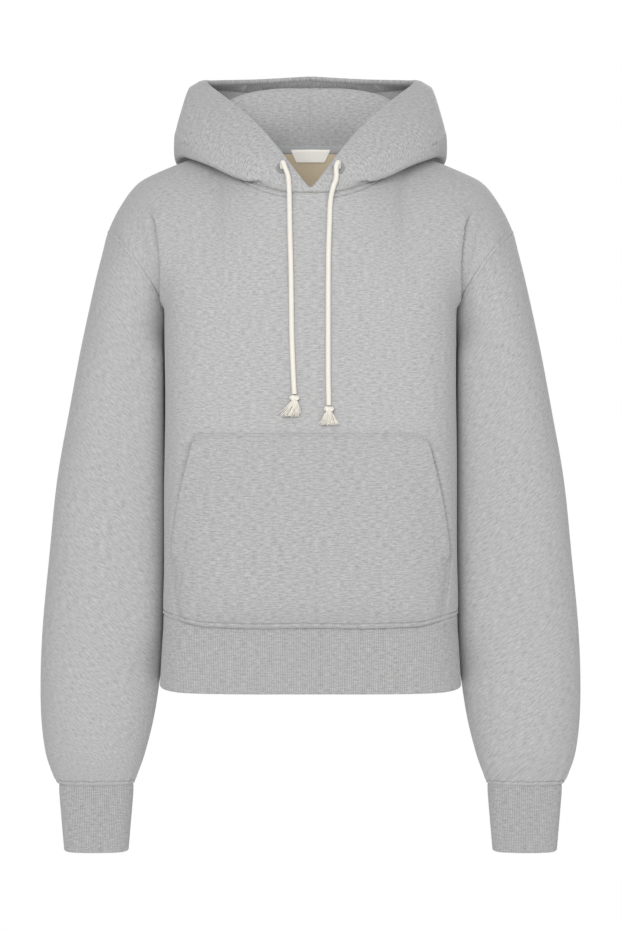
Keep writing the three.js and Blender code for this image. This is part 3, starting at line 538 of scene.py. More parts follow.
tones = {  # darkest and lightest fibre of each cloth; the pocket's fleece is set darker than the body's as painted shade low on the front
    "fleece": ("#8c8c8c", "#b4b4b4"), "pocket": ("#878787", "#afafaf"), "hood": ("#818181", "#bababa"),
    "lining": ("#8d8d8d", "#b9b9b9"), "rib": ("#909090", "#b8b8b8"),
}
# the pocket marl is the body's fleece made darker: painted shade
materials = {name: marlMaterial(f"{name} marl", *tones[name]) for name in ("fleece", "pocket", "lining")}
materials["hood"] = marlMaterial("hood marl", *tones["hood"], streak=(5, 1.6))


def plainCloth(name, dark, light, size, bump, rough=0.9, sheen=0.2):
    material, tree, shader = newMaterial(name, rough, sheen)
    tone = streaks(tree, size, 3.0, 0.7)
    link(tree, shader, ramp(tree, tone, (0.3, dark), (0.7, light)), tone, bump, 0.4)
    return material


materials["patch"] = plainCloth("tan jersey", "#bcac92", "#d0c0a6", (0.9, 0.9), 0.4)
materials["tape"] = plainCloth("grey twill tape", "#97989a", "#b2b3b4", (1.6, 0.7), 0.6)
materials["label"] = plainCloth("cream satin", "#f2eee6", "#faf7f0", (3.0, 0.25), 0.15, 0.45, 0.4)
materials["cord"] = plainCloth("cream cotton cord", "#cfcac0", "#e1dcd3", (2.2, 0.5), 0.6, 0.9, 0.3)
materials["thread"] = newMaterial("grey sewing thread", 0.7, 0.2, "#8e8e8e")[0]


def fasten(piece, slotName, *nodes):
    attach(piece, "root")
    if nodes:
        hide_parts(*nodes)
    return piece


def dress(piece, material, slotName, *nodes):
    piece.data.materials.append(materials[material])
    return fasten(piece, slotName, *nodes)


print("stage: drawcords")
drawcord = {
    "diameter": 5.5, "sides": 18, "rings": 240, "lift": 3.45, "stepZ": -66, "stepLift": 6.95,
    "eyelet": (30.5, -33),
    "leaving": [(0.1, 0, 0), (4.5, 0, -3.2), (7.2, 0.8, -2.6), (8, 2.6, 2.2)],  # off the hood, inwards, down
    "right": [(24.4, -42), (23.3, -52), (22.7, -75), (22.2, -105), (21.3, -137), (20.7, -176), (20.2, -214),
              (18.9, -250), (17.4, -279.6)],
    "left": [(27.9, -44.7), (24.6, -55), (21.9, -68), (20.6, -95), (19.6, -125.4), (19.3, -160), (19.2, -192.5),
             (19.2, -230), (19.3, -264), (19.9, -291.6)],
}
onHood = placeOn(hoodPoint, (0.4, 3), (0.3, 0.99), *drawcord["eyelet"])


def onChest(x, z):
    return placeOn(lambda a, b: panelPoint(frontPanel, a[None], b[:, None]), (0, neckLine), (1, 1.99), x, z)


def cordCourse(side, sign):
    at, out = onHood
    course = [at + out * off - (inwards, 0, down) for off, inwards, down in drawcord["leaving"]]
    for x, z in drawcord[side]:
        y = onChest(x, min(z, drawcord["stepZ"]))[0][1] if z > cloth["underarmZ"] else float(frontAt(x, z)[1])
        course.append((x, y - (drawcord["stepLift"] if z > drawcord["stepZ"] else drawcord["lift"]), z))
    course = np.array(course)
    knots = np.concatenate([[0], np.cumsum(np.linalg.norm(np.diff(course, axis=0), axis=1) ** 0.5)])
    fine = smoothRun(knots, course)(np.linspace(0, knots[-1], 4 * drawcord["rings"]))
    return alongPath(fine, count=drawcord["rings"])[0] * (sign, 1, 1)


def alongPath(path, spacing=None, count=None, closed=False):  # evenly spaced places on a path, with its directions
    path = np.concatenate([path, path[:1]]) if closed else path
    run = np.concatenate([[0], np.cumsum(np.linalg.norm(np.diff(path, axis=0), axis=1))])
    count = count or max(int(round(run[-1] / spacing)), 2)
    at = np.linspace(0, run[-1], count, endpoint=not closed)
    places = np.stack([np.interp(at, run, path[:, k]) for k in range(3)], -1)
    ahead = np.stack([np.interp(np.minimum(at + 0.5, run[-1]), run, path[:, k]) for k in range(3)], -1)
    behind = np.stack([np.interp(np.maximum(at - 0.5, 0), run, path[:, k]) for k in range(3)], -1)
    return places, unit(ahead - behind)


def tube(name, path, radius, sides):  # a closed round tube, with u round it and v along it
    directions = unit(np.gradient(path, axis=0))
    across = unit(np.cross(directions[0], (0, 1, 0.01)))
    rings = []
    for place, direction in zip(path, directions):
        across = unit(across - direction * (across @ direction))
        turns = np.linspace(0, 2 * math.pi, sides, endpoint=False)[:, None]
        rings.append(place + radius * (np.cos(turns) * across + np.sin(turns) * np.cross(direction, across)))
    ends = [path[0], path[-1]]
    vertices = np.concatenate([np.array(rings).reshape(-1, 3), ends])
    faces, uvs = [], []
    run = np.concatenate([[0], np.cumsum(np.linalg.norm(np.diff(path, axis=0), axis=1))])
    girth = 2 * math.pi * radius / sides
    for r in range(len(path) - 1):
        for c in range(sides):
            d = (c + 1) % sides
            faces.append((r * sides + c, r * sides + d, (r + 1) * sides + d, (r + 1) * sides + c))
            left, right = c * girth, (c + 1) * girth
            uvs += [(left, run[r]), (right, run[r]), (right, run[r + 1]), (left, run[r + 1])]
    first, last, top = len(vertices) - 2, len(vertices) - 1, (len(path) - 1) * sides
    for c in range(sides):
        d = (c + 1) % sides
        faces += [(first, d, c), (last, top + c, top + d)]
        uvs += [(0, 0), (girth, 0), (0, girth)] * 2
    return meshObject(name, vertices, faces, uvs)


cordPaths = {side: cordCourse(side, sign) for side, sign in (("left", 1), ("right", -1))}
for side, path in cordPaths.items():
    dress(tube(f"drawcord.{side}", path, drawcord["diameter"] / 2, drawcord["sides"]),
                             "cord", "cotton_cord", f"drawcord_{side}")


print("stage: node trees")


def newTree(name, inputs):
    tree = bpy.data.node_groups.new(name, "GeometryNodeTree")
    tree.interface.new_socket("Geometry", in_out="INPUT", socket_type="NodeSocketGeometry")
    for label, kind in inputs.items():
        tree.interface.new_socket(label, in_out="INPUT", socket_type=kind)
    tree.interface.new_socket("Geometry", in_out="OUTPUT", socket_type="NodeSocketGeometry")
    return tree, tree.nodes.new("NodeGroupInput"), tree.nodes.new("NodeGroupOutput")


def endTree(tree, geometry, material, output):
    real = addNode(tree, "GeometryNodeRealizeInstances", {"Geometry": geometry})
    coloured = addNode(tree, "GeometryNodeSetMaterial", {"Geometry": real.outputs["Geometry"], "Material": material})
    tree.links.new(coloured.outputs["Geometry"], output.inputs["Geometry"])


def stitchTree():  # a grain of thread at each point, laid along the point's own direction
    tree, given, output = newTree("stitches", {"Stitch length": "NodeSocketFloat", "Thread": "NodeSocketFloat",
                                               "Material": "NodeSocketMaterial"})
    grain = addNode(tree, "GeometryNodeMeshUVSphere", {"Segments": 6, "Rings": 4, "Radius": 0.5})
    size = addNode(tree, "ShaderNodeCombineXYZ", {
        "X": given.outputs["Thread"], "Y": given.outputs["Thread"], "Z": given.outputs["Stitch length"]})
    course = addNode(tree, "GeometryNodeInputNamedAttribute", {"Name": "course"}, data_type="FLOAT_VECTOR")
    lay = addNode(tree, "FunctionNodeAlignRotationToVector", {"Vector": course.outputs["Attribute"]}, axis="Z")
    spots = addNode(tree, "GeometryNodeMeshToPoints", {"Mesh": given.outputs["Geometry"]})
    sewn = addNode(tree, "GeometryNodeInstanceOnPoints", {
        "Points": spots.outputs["Points"], "Instance": grain.outputs["Mesh"], "Rotation": lay.outputs["Rotation"],
        "Scale": size.outputs["Vector"]})
    endTree(tree, sewn.outputs["Instances"], given.outputs["Material"], output)
    return tree


def ribTree():  # raises the wales of a rib knit, counted across the cloth by its UV map
    tree, given, output = newTree("rib knit", {"Wale pitch": "NodeSocketFloat", "Rib height": "NodeSocketFloat",
                                               "Material": "NodeSocketMaterial"})
    place = addNode(tree, "GeometryNodeInputNamedAttribute", {"Name": "cloth"}, data_type="FLOAT_VECTOR")
    across = addNode(tree, "ShaderNodeSeparateXYZ", {"Vector": place.outputs["Attribute"]})
    wales = addNode(tree, "ShaderNodeMath", {0: across.outputs["X"], 1: given.outputs["Wale pitch"]},
                    operation="DIVIDE")
    turn = addNode(tree, "ShaderNodeMath", {0: wales.outputs[0], 1: 2 * math.pi}, operation="MULTIPLY")
    wave = addNode(tree, "ShaderNodeMath", {0: turn.outputs[0]}, operation="COSINE")
    share = addNode(tree, "ShaderNodeMath", {0: wave.outputs[0], 1: 0.5, 2: 0.5}, operation="MULTIPLY_ADD")
    lift = addNode(tree, "ShaderNodeMath", {0: share.outputs[0], 1: given.outputs["Rib height"]}, operation="MULTIPLY")
    normal = addNode(tree, "GeometryNodeInputNormal")
    offset = addNode(tree, "ShaderNodeVectorMath", {0: normal.outputs["Normal"], "Scale": lift.outputs[0]},
                     operation="SCALE")
    raised = addNode(tree, "GeometryNodeSetPosition", {
        "Geometry": given.outputs["Geometry"], "Offset": offset.outputs["Vector"]})
    endTree(tree, raised.outputs["Geometry"], given.outputs["Material"], output)
    return tree


def threadTree():  # thin round threads along the edges of a mesh
    tree, given, output = newTree("threads", {"Thread": "NodeSocketFloat", "Material": "NodeSocketMaterial"})
    lines = addNode(tree, "GeometryNodeMeshToCurve", {"Mesh": given.outputs["Geometry"]})
    half = addNode(tree, "ShaderNodeMath", {0: given.outputs["Thread"], 1: 0.5}, operation="MULTIPLY")
    ring = addNode(tree, "GeometryNodeCurvePrimitiveCircle", {"Resolution": 4, "Radius": half.outputs[0]})
    round_ = addNode(tree, "GeometryNodeCurveToMesh", {
        "Curve": lines.outputs["Curve"], "Profile Curve": ring.outputs["Curve"], "Fill Caps": True})
    endTree(tree, round_.outputs["Mesh"], given.outputs["Material"], output)
    return tree


def grown(source, tree, sizes, name):  # runs a node tree on an object and keeps the result as a plain mesh
    modifier = source.modifiers.new(tree.name, "NODES")
    modifier.node_group = tree
    identifiers = {item.name: item.identifier for item in tree.interface.items_tree if item.in_out == "INPUT"}
    for label, value in sizes.items():
        modifier[identifiers[label]] = value
    bpy.context.view_layer.update()
    result = bpy.data.meshes.new_from_object(source.evaluated_get(bpy.context.evaluated_depsgraph_get()))
    result.name = name
    piece = bpy.data.objects.new(name, result)
    scene.collection.objects.link(piece)
    bpy.data.objects.remove(source)
    result.shade_smooth()
    return piece


trees = {"stitches": stitchTree(), "ribs": ribTree(), "threads": threadTree()}


def sewn(name, runs, length=2.6, thread=0.6, slotName="marl_fleece"):  # runs of places and their directions
    places, courses = (np.concatenate(parts) for parts in zip(*runs))
    source = meshObject(f"{name}.points", places, [])
    attribute = source.data.attributes.new("course", "FLOAT_VECTOR", "POINT")
    attribute.data.foreach_set("vector", courses.ravel())
    piece = grown(source, trees["stitches"], {"Stitch length": length * mm, "Thread": thread * mm,
                                             "Material": materials["thread"]}, name)
    return fasten(piece, slotName)


print("stage: body")
body = {"rows": 110, "columns": 250, "unevenness": 0.7, "shoulderX": 99, "evenReach": 26, "evenRise": 60}
topSeam = {"axisY": -10, "blend": 3.5}


def level(vectors):
    return unit(vectors * (1, 1, 0))


def aroundArmhole(grid, foldX):
    high = (grid[..., 2] - cloth["underarmZ"]) / (cloth["armholeTopZ"] - cloth["underarmZ"])
    side = np.sign(grid[..., 0]) * (foldX * (1 - high) + 0.95 * high)
    return unit(points(side, grid[..., 1] / 40, 0.3 * high - 0.87 * (1 - high)))


def steered(normals, pulls):  # bends the way through the wall towards what each edge needs
    for distance, towards in pulls:
        share = bell(distance, topSeam["blend"])[..., None]
        normals = unit(normals * (1 - share) + towards * share)
    return normals


def panelSteer(normals, grid, distances):
    neck = unit(points(grid[..., 0], grid[..., 1] - topSeam["axisY"], 0))
    ridge = unit(normals * (1, 0, 1))
    top = np.where((abs(grid[-1, :, 0]) < body["shoulderX"])[None, :, None], neck, ridge)
    side = np.where((grid[..., 2] < cloth["underarmZ"])[..., None], level(points(grid[..., 0], 0, 0)),
                    aroundArmhole(grid, 0.5))
    return steered(normals, [(distances["low"], level(normals)), (distances["high"], top),
                             (distances["left"], side), (distances["right"], side)])


def panelCloth(panel, facing):
    lines = np.linspace(-armLine, armLine, 301) * -facing
    v = np.concatenate([np.linspace(0, 1, 90), np.linspace(1, 2, 110)[1:]])
    grid = panelPoint(panel, abs(lines)[None], v[:, None]) * points(np.sign(lines), 1, 1)
    grid = edgeRows(grid, stitchedRows, stitchedRows, body["rows"])
    grid = edgeColumns(grid, seam["rows"], seam["rows"], body["columns"])
    gap = cloth["seamGap"] / 2
    grid[:, [0, -1], 1] += facing * gap
    grid[-1, :, 1] += facing * gap
    grid[0, :, 2] += gap
    return grid


tuck = [(163.5, -176), (164.6, -155), (164.9, -134), (167.8, -111), (170.6, -93), (173, -85), (179, -80)]
openingEdge = [(127.2, -330), (135.4, -352), (143, -382), (150.2, -420), (153.4, -447), (153.4, -460)]
lowerEdge = [(153.4, -458), (152.3, -474), (149.2, -497), (145, -524)]


def onBothSides(path, **sizes):  # a fold on each side whose trough lies away from the centre; paths run down
    first, last = sizes.pop("ends")
    left = {"path": path, "ends": (first, last), **sizes}
    return [left, {"path": [(-x, z) for x, z in path[::-1]], "ends": (last, first), **sizes}]


frontCreases = [  # paths seen from the front, as x and z
    *onBothSides(tuck[::-1], depth=7, width=6.5, ridge=0.45, sharp=1.8, ends=(0.16, 0.02)),
    *onBothSides(openingEdge, depth=5.5, width=3.4, ridge=0, sharp=1.2, ends=(0.06, 0.1)),
    *onBothSides(lowerEdge, depth=1.6, width=2.6, ridge=0, sharp=1.4, ends=(0.1, 0.1)),
    *onBothSides([(160, -508), (146, -516), (128, -519), (104, -520)], depth=1.3, width=5, sharp=4,
                 ends=(0.2, 0.5)),
]
backCreases = [
    {"path": [(150, -92), (156, -120), (159, -160), (157, -205)], "depth": 4.5, "width": 9, "sharp": 4},
    {"path": [(-157, -205), (-159, -160), (-156, -120), (-150, -92)], "depth": 4.5, "width": 9, "sharp": 4},
    {"path": [(120, -478), (84, -462), (30, -456)], "depth": 1.8, "width": 9, "sharp": 6},
    {"path": [(-132, -440), (-96, -428), (-52, -430)], "depth": 1.5, "width": 10, "sharp": 7},
    {"path": [(-96, -505), (-70, -496), (-34, -497)], "depth": 1.4, "width": 7, "sharp": 5},
    {"path": [(112, -250), (92, -214), (84, -168)], "depth": 1.6, "width": 12, "sharp": 8},
]


def folded(grid, creases, facing, seed):
    normals = outwards(grid)
    moved = drape(grid, normals, body["unevenness"], seed)
    for fold in creases:
        moved = moved + crease(grid, normals, facing=facing, **fold)
    return grid + moved


def edgeHold(grid, reach=14):  # keeps a cloth's edges where they are sewn, however the middle moves
    up, across = runAlong(grid, 0), runAlong(grid, 1)
    nearest = np.minimum(np.minimum(up, up[-1] - up), np.minimum(across, across[:, -1:] - across))
    return smoothstep(nearest / reach)[..., None]


neckSewn = {"from": {"front": 24, "back": -10}, "to": 96, "blend": 4}  # distances from the centre line


def neckStitch(grid, side):  # where the neck seam is stitched down, as a share for each column
    x, blend = abs(grid[-1, :, 0]), neckSewn["blend"]
    return smoothstep((x - neckSewn["from"][side]) / blend + 0.5) * smoothstep((neckSewn["to"] - x) / blend + 0.5)


def evened(grid, passes=60):  # evens the fan of lines above the underarm, away from the edges
    above = smoothstep((grid[..., 2] - cloth["underarmZ"]) / body["evenRise"])[..., None]
    hold = edgeHold(grid, body["evenReach"]) * above
    for _ in range(passes):
        grid[:, 1:-1] += 0.5 * hold[:, 1:-1] * ((grid[:, :-2] + grid[:, 2:]) / 2 - grid[:, 1:-1])
    return grid


panels = {}
for side, panel, facing, creases, seed in (("front", frontPanel, -1, frontCreases, 0.4),
                                           ("back", backPanel, 1, backCreases, 2.2)):
    grid = evened(panelCloth(panel, facing))
    hold = edgeHold(grid)
    grid = grid + (folded(grid, creases, facing, seed) - grid) * hold
    made = shell(f"{side}_panel.cloth", grid, cloth["fleece"], {
        "low": "stitched", "high": ("stitched", neckStitch(grid, side), cloth["fleece"]), "left": "pressed",
        "right": "pressed"}, steer=panelSteer, shift=(0.3 * facing, 0.2))
    dress(made["piece"], "fleece", "marl_fleece", f"{side}_panel")
    panels[side] = made

print("stage: sleeves")
sleeves = {
    "rows": 118, "columns": 110, "unevenness": 0.8, "gathers": 17, "gather": 0.9, "gatherReach": 20,
    "beside": ((-200, 40), (-590, 60)),  # where the sleeve starts and stops lying beside the body, and how fast
    "lean": 3.8, "leanTurn": 202, "leanReach": 20,  # the inner side rests towards the body behind
    "fullness": 8, "fullTurn": 140, "fullReach": 24,  # and is full in front
}
sleeveCreases = [  # on the wearer's left sleeve, seen from the front
    {"path": [(178, -246), (192, -238), (210, -236), (228, -240)], "depth": 1.6, "width": 8, "facing": -1},
    {"path": [(262, -372), (238, -388), (212, -384)], "depth": 2.0, "width": 10, "sharp": 6, "facing": 1},
    {"path": [(206, -430), (232, -438), (266, -426)], "depth": 1.7, "width": 9, "sharp": 6, "facing": 1},
    {"path": [(226, -330), (248, -344), (268, -340)], "depth": 1.5, "width": 9, "sharp": 6, "facing": 1},
]


def sleeveSteer(normals, grid, distances):
    return steered(normals, [(distances["low"], aroundArmhole(grid, -0.5)), (distances["high"], level(normals))])


def sleeveCloth():
    turns = np.linspace(0, 360, sleeves["columns"], endpoint=False)
    t = np.concatenate([np.linspace(0, 8, 150), np.linspace(8, 10, 60)[1:]])
    grid = edgeRows(sleevePoint(turns, t), stitchedRows, stitchedRows, sleeves["rows"])
    (top, fadeTop), (bottom, fadeBottom) = sleeves["beside"]
    beside = smoothstep((top - grid[..., 2]) / fadeTop) * smoothstep((grid[..., 2] - bottom) / fadeBottom)
    full = sleeves["fullness"] * bell(turns - sleeves["fullTurn"], sleeves["fullReach"]) * beside
    grid = grid + outwards(grid, True) * full[..., None]
    grid[..., 0] -= sleeves["lean"] * bell(turns - sleeves["leanTurn"], sleeves["leanReach"]) * beside
    normals = outwards(grid, True)
    up = runAlong(grid, 0)
    toCuff = up[-1] - up
    angle = np.radians(turns)[None]
    gather = np.cos(sleeves["gathers"] * angle + 0.8 * np.sin(3 * angle)) * (0.75 + 0.25 * np.sin(5 * angle))
    hold = smoothstep(np.minimum(up / 12, toCuff / 9))
    puff = sleeves["gather"] * gather * bell(toCuff, sleeves["gatherReach"]) * smoothstep(toCuff / 3)
    moved = drape(grid, normals, sleeves["unevenness"], 4.1) * hold[..., None] + puff[..., None] * normals
    for fold in sleeveCreases:
        moved = moved + crease(grid, normals, **fold) * hold[..., None]
    return grid + moved


leftSleeve = sleeveCloth()
sleeveShells = {}
for side, grid, shift in (("left", leftSleeve, (1.1, 0.4)), ("right", mirrored(leftSleeve), (2.3, 0.9))):
    made = shell(f"sleeve_{side}.cloth", grid, cloth["fleece"], {"low": "pressed", "high": "stitched"}, closed=True,
                 steer=sleeveSteer, shift=shift)
    dress(made["piece"], "fleece", "marl_fleece", f"sleeve_{side}")
    sleeveShells[side] = made

print("stage: rib hem and cuffs")
ribs = {"height": 0.8, "hemWales": 480, "cuffWales": 100, "columnsPerWale": 4}


def evenRing(outline, count):  # count places at even distances round a closed outline of turns
    turns = np.linspace(0, 360, 1441)
    run = runAlong(outline(turns)[None], 1)[0]
    return np.interp(np.linspace(0, run[-1], count, endpoint=False), run, turns)


def ribbed(name, grid, wales, node, shift):
    ends = {"low": "fold", "high": "seam"} if node == "hem_rib" else {"low": "seam", "high": "fold"}
    made = shell(f"{name}.plain", grid, cloth["ribWall"], ends, closed=True,
                 steer=lambda normals, *rest: level(normals), shift=shift, even=True)
    pitch = made["flat"][0] / wales
    # its marl paints shade into the troughs between the wales, at the wale pitch
    piece = grown(made["piece"], trees["ribs"], {
        "Wale pitch": pitch, "Rib height": ribs["height"] * mm,
        "Material": marlMaterial(f"rib marl {node}", *tones["rib"], pitch)}, name)
    made["piece"] = fasten(piece, "rib_knit", node)
    return made


def hemGrid():
    middle = sum(hemHeights[0][1:]) / 2
    turns = evenRing(lambda turn: torsoPoint(turn, middle), ribs["hemWales"] * ribs["columnsPerWale"])
    high, low = hemAt(turns)
    rows = np.linspace(0, 1, 9)[:, None]
    grid = torsoPoint(turns[None], low + (high - cloth["seamGap"] - low) * rows)
    inset = 1 - ribs["height"] / np.hypot(grid[..., 0], grid[..., 1])
    grid = grid * points(inset, inset, 1)
    return edgeRows(grid, foldRows(cloth["ribWall"]), seam["rows"][:4], 6)


def cuffGrid():
    turns = evenRing(lambda turn: ringPoint(cuffRings[1], turn), ribs["cuffWales"] * ribs["columnsPerWale"])
    grid = smoothRun(range(3), [ringPoint(ring, turns) for ring in cuffRings])(np.linspace(0, 2, 20))
    return edgeRows(grid, seam["rows"][:4], foldRows(cloth["ribWall"]), 9)


hem = ribbed("hem_rib.knit", hemGrid(), ribs["hemWales"], "hem_rib", (0, 0.7))
leftCuff = cuffGrid()
cuffs = {"left": ribbed("cuff_left.knit", leftCuff, ribs["cuffWales"], "cuff_left", (0, 1.7)),
         "right": ribbed("cuff_right.knit", mirrored(leftCuff), ribs["cuffWales"], "cuff_right", (0, 2.9))}

print("stage: pocket")
pocket = {
    "outline": [(-532, 143), (-500, 148), (-474, 151.5), (-450, 152.5), (-420, 149), (-382, 142), (-352, 134.5),
                (-322, 126.5)],  # height and half width
    "lift": 1.2, "wall": 2.1, "rows": 70, "columns": 110, "foot": 0.1, "opening": (-458, -331), "gape": 3,
    "seat": 1.3, "seatReach": 6, "sideReach": 5, "gapeReach": 14, "bulge": 2.2, "topStitch": 2.7,
    "groove": (0.6, 0.7),  # depth and reach of the top stitch's groove
}
pocketHalf = smoothRun([row[0] for row in pocket["outline"]], [row[1] for row in pocket["outline"]])


def pocketCloth():
    shares = np.linspace(-1, 1, 161)
    corner = frontAt(shares * pocket["outline"][0][1], pocket["outline"][0][0])
    foot = hemAt(np.degrees(np.arctan2(abs(corner[:, 0]), -corner[:, 1])))[0] + pocket["foot"]
    z = foot + (cloth["pocketTopZ"] - foot) * np.linspace(0, 1, 120)[:, None]
    flat = frontAt(shares * pocketHalf(z), z)
    lip = (pocket["lift"] + cloth["fleece"] + pocket["gape"]) * outwards(flat)[:, -1:, 0]  # how far the edge leans out
    flat = frontAt(shares * (pocketHalf(z) - 0.9 * lip), z)
    grid = flat + outwards(flat) * (pocket["lift"] + cloth["fleece"])
    folds = foldRows(pocket["wall"])
    grid = edgeRows(grid, stitchedRows, [*folds[:-2], 1.7, 2.2, 2.7, 3.2, 3.8, 5], pocket["rows"])
    grid = edgeColumns(grid, folds, folds, pocket["columns"])
    up, across = runAlong(grid, 0), runAlong(grid, 1)
    fromTop, fromSide = up[-1] - up, np.minimum(across, across[:, -1:] - across)
    height = grid[..., 2]
    lowest, highest = pocket["opening"]
    open_ = smoothstep((height - lowest) / 12 + 0.5) * smoothstep((highest - height) / 8 + 0.5)
    sewnSide = bell(fromSide, pocket["sideReach"]) * (1 - open_)
    sewnEnds = bell(fromTop, pocket["seatReach"]) + bell(up, pocket["seatReach"])
    seat = -pocket["seat"] * np.clip(sewnEnds + sewnSide, 0, 1)
    gape = pocket["gape"] * open_ * bell(fromSide, pocket["gapeReach"])
    bulge = pocket["bulge"] * smoothstep(fromSide / 45) * smoothstep(fromTop / 50) * smoothstep(up / 60)
    depth, reach = pocket["groove"]
    groove = -depth * bell(fromTop - pocket["topStitch"], reach)
    normals = outwards(grid)
    wave = drape(grid, normals, body["unevenness"], 0.4) * edgeHold(grid)
    return grid + normals * (seat + gape + bulge + groove)[..., None] + wave


pocketShell = shell("kangaroo_pocket.cloth", pocketCloth(), pocket["wall"], {
    "low": "stitched", "high": "fold", "left": "fold", "right": "fold"}, shift=(5.2, 0.6))
# the pocket's darker marl is painted shade on the same fleece as the body
dress(pocketShell["piece"], "pocket", "marl_fleece", "kangaroo_pocket")

print("stage: hood")
hood = {"rows": 130, "columns": 104, "facing": 23, "rim": 4.9, "puff": 3}


def hoodSteer(normals, grid, distances):
    neck = unit(points(grid[..., 0], grid[..., 1] - topSeam["axisY"], 0))
    middle = unit(normals * (0, 1, 1))
    return steered(normals, [(distances["low"], neck), (distances["left"], middle), (distances["right"], middle)])


hoodCreases = [
    {"path": [(133, -2), (140, 7), (150, 18), (158, 26)], "depth": 1.8, "width": 5, "facing": -1},
    {"path": [(122, 34), (138, 22), (150, 4)], "depth": 1.4, "width": 6, "facing": -1},
]
cheekFold = {"from": 1.75, "to": 4.7, "foot": 0.27, "rise": 0.11, "depth": 8, "width": 2.4, "swell": 0.55,
             "swellReach": 16, "fade": 0.12}


def withCheekFold(grid, arounds, shares):  # the narrow fold where the cheek hangs over the cloth at the neck
    fold = cheekFold
    along = np.clip((arounds - fold["from"]) / (fold["to"] - fold["from"]), 0, 1)
    run = runAlong(grid, 0)
    place = np.array([np.interp(w, shares, run[:, c]) for c, w in enumerate(fold["foot"] + fold["rise"] * along)])
    off = run - place
    strength = smoothstep(along / fold["fade"]) * smoothstep((1 - along) / fold["fade"])
    shape = fold["swell"] * smoothstep(off / 3) * bell(off, fold["swellReach"]) - bell(off, fold["width"])
    return grid + outwards(grid) * (fold["depth"] * strength * shape)[..., None]


def hoodCloth():
    arounds, shares = np.linspace(0, hoodEnd, 141), np.linspace(0, 1, 261)
    grid = withCheekFold(hoodPoint(arounds, shares), arounds, shares)
    grid[:, [0, -1], 0] = 0
    folds = foldRows(hood["rim"])
    outer = edgeRows(grid, seam["rows"], [*folds, hood["facing"] - 1, hood["facing"] + 1], hood["rows"])
    outer = edgeColumns(outer, seam["rows"], seam["rows"], hood["columns"])
    outer[:, [0, -1], 0] = 0
    return outer


outerHood = hoodCloth()
hoodNormals = outwards(outerHood)
hoodMove = drape(outerHood, hoodNormals, 0.7, 1.3)
for fold in hoodCreases:
    hoodMove = hoodMove + crease(outerHood, hoodNormals, **fold)
outerHood = outerHood + hoodMove * edgeHold(outerHood, 10)
hoodRunUp, hoodRunAcross = runAlong(outerHood, 0), runAlong(outerHood, 1)
toRim = hoodRunUp[-1] - hoodRunUp
facingDepth = np.minimum(hood["facing"], hoodRunUp[-1] * 0.6)
liningGrid = outerHood - hoodSteer(outwards(outerHood), outerHood, {
    "low": hoodRunUp, "left": hoodRunAcross, "right": hoodRunAcross[:, -1:] - hoodRunAcross,
}) * (cloth["hoodLayer"] + cloth["layerGap"])
liningGrid[:, [0, -1], 0] = 0
liningGrid = edgeRows(liningGrid, seam["rows"], [0, 1, 2], hood["rows"] - 10, trim=hood["facing"] - 2)
facingThick = (hood["rim"] - cloth["hoodLayer"]) * smoothstep((facingDepth - toRim) / 1.6 + 0.5)
facingThick = facingThick + hood["puff"] * np.sin(math.pi * np.clip(toRim / facingDepth, 0, 1))
hoodShells = {}
for side, turn in (("left", lambda grid: grid), ("right", mirrored)):
    extra = facingThick if side == "left" else facingThick[:, ::-1]
    ends = {"left": "pressed", "right": "plain"} if side == "right" else {"left": "plain", "right": "pressed"}
    shift = (7.1, 3.3) if side == "left" else (9.4, 4.1)
    made = shell(f"hood_{side}.cloth", turn(outerHood), cloth["hoodLayer"], {
        **ends, "low": "seam", "high": ("fold", 1, hood["rim"])}, steer=hoodSteer, turned=True,
        shift=shift, extra=extra, even=True)
    dress(made["piece"], "hood", "marl_fleece", f"hood_{side}")
    hoodShells[side] = made
    lining = shell(f"hood_lining_{side}.cloth", turn(liningGrid), cloth["hoodLayer"], {
        **ends, "low": "seam"}, steer=hoodSteer, shift=(shift[0] + 1, 5.2), even=True)
    dress(lining["piece"], "lining", "hood_lining", f"hood_lining_{side}")
    hoodShells[f"lining {side}"] = lining

print("stage: inside of the neck")
tape = {"lift": 3.3, "wall": 0.8, "reach": 2, "from": 1.979, "to": 2.0225}  # its edges are turned in
patch = {"lift": 1.8, "wall": 1.2, "reach": 3.6, "from": 1.5, "to": 1.978}
label = {"lift": 4.7, "wall": 0.6, "footReach": 0.57, "topReach": 0.79, "from": 1.918, "to": 2.003}
hoodShare = 0.8  # of a hood section's length in a step of height above the seam


def backOrHood(line, height):
    if height <= 2:
        return panelPoint(backPanel, line, height)
    return hoodPoint(hoodEnd - line, [(height - 2) * hoodShare])[0]


def insideBack(reaches, heights, columns, depth):  # a grid on the inside of the back, seen from the front
    shares = np.linspace(-1, 1, columns)
    sides = points(np.sign(shares), 1, 1)
    outer = np.array([backOrHood(abs(shares) * reach, height) * sides for reach, height in zip(reaches, heights)])
    return outer + outwards(outer) * depth  # the grid's own way out is towards the wearer


foldedAll = {"low": "fold", "high": "fold", "left": "fold", "right": "fold"}


def neckPiece(name, sizes, reaches, heights, columns, material, slotName, edges=foldedAll):
    depth = cloth["fleece"] + sizes["lift"] + sizes["wall"]
    made = shell(name, insideBack(reaches, heights, columns, depth), sizes["wall"], edges, shift=(2.2, 6.1))
    dress(made["piece"], material, slotName, name.split(".")[0])
    return made


tapeHeights = np.linspace(tape["from"], tape["to"], 9)
tapeShell = neckPiece("neck_tape.cloth", tape, tapeHeights * 0 + tape["reach"], tapeHeights, 60, "tape", "neck_tape",
                      {"low": "fold", "high": "fold"})
patchHeights = np.linspace(patch["from"], patch["to"], 40)
down = 1 - (np.arange(40) + 0.5) / 39.5
patchShell = neckPiece("neck_patch.cloth", patch, patch["reach"] * np.sqrt(1 - down**2), patchHeights, 50, "patch",
                       "neck_patch")
labelHeights = np.linspace(label["from"], label["to"], 20)
labelReaches = np.linspace(label["footReach"], label["topReach"], 20)
labelShell = neckPiece("neck_label.cloth", label, labelReaches, labelHeights, 28, "label", "woven_label")

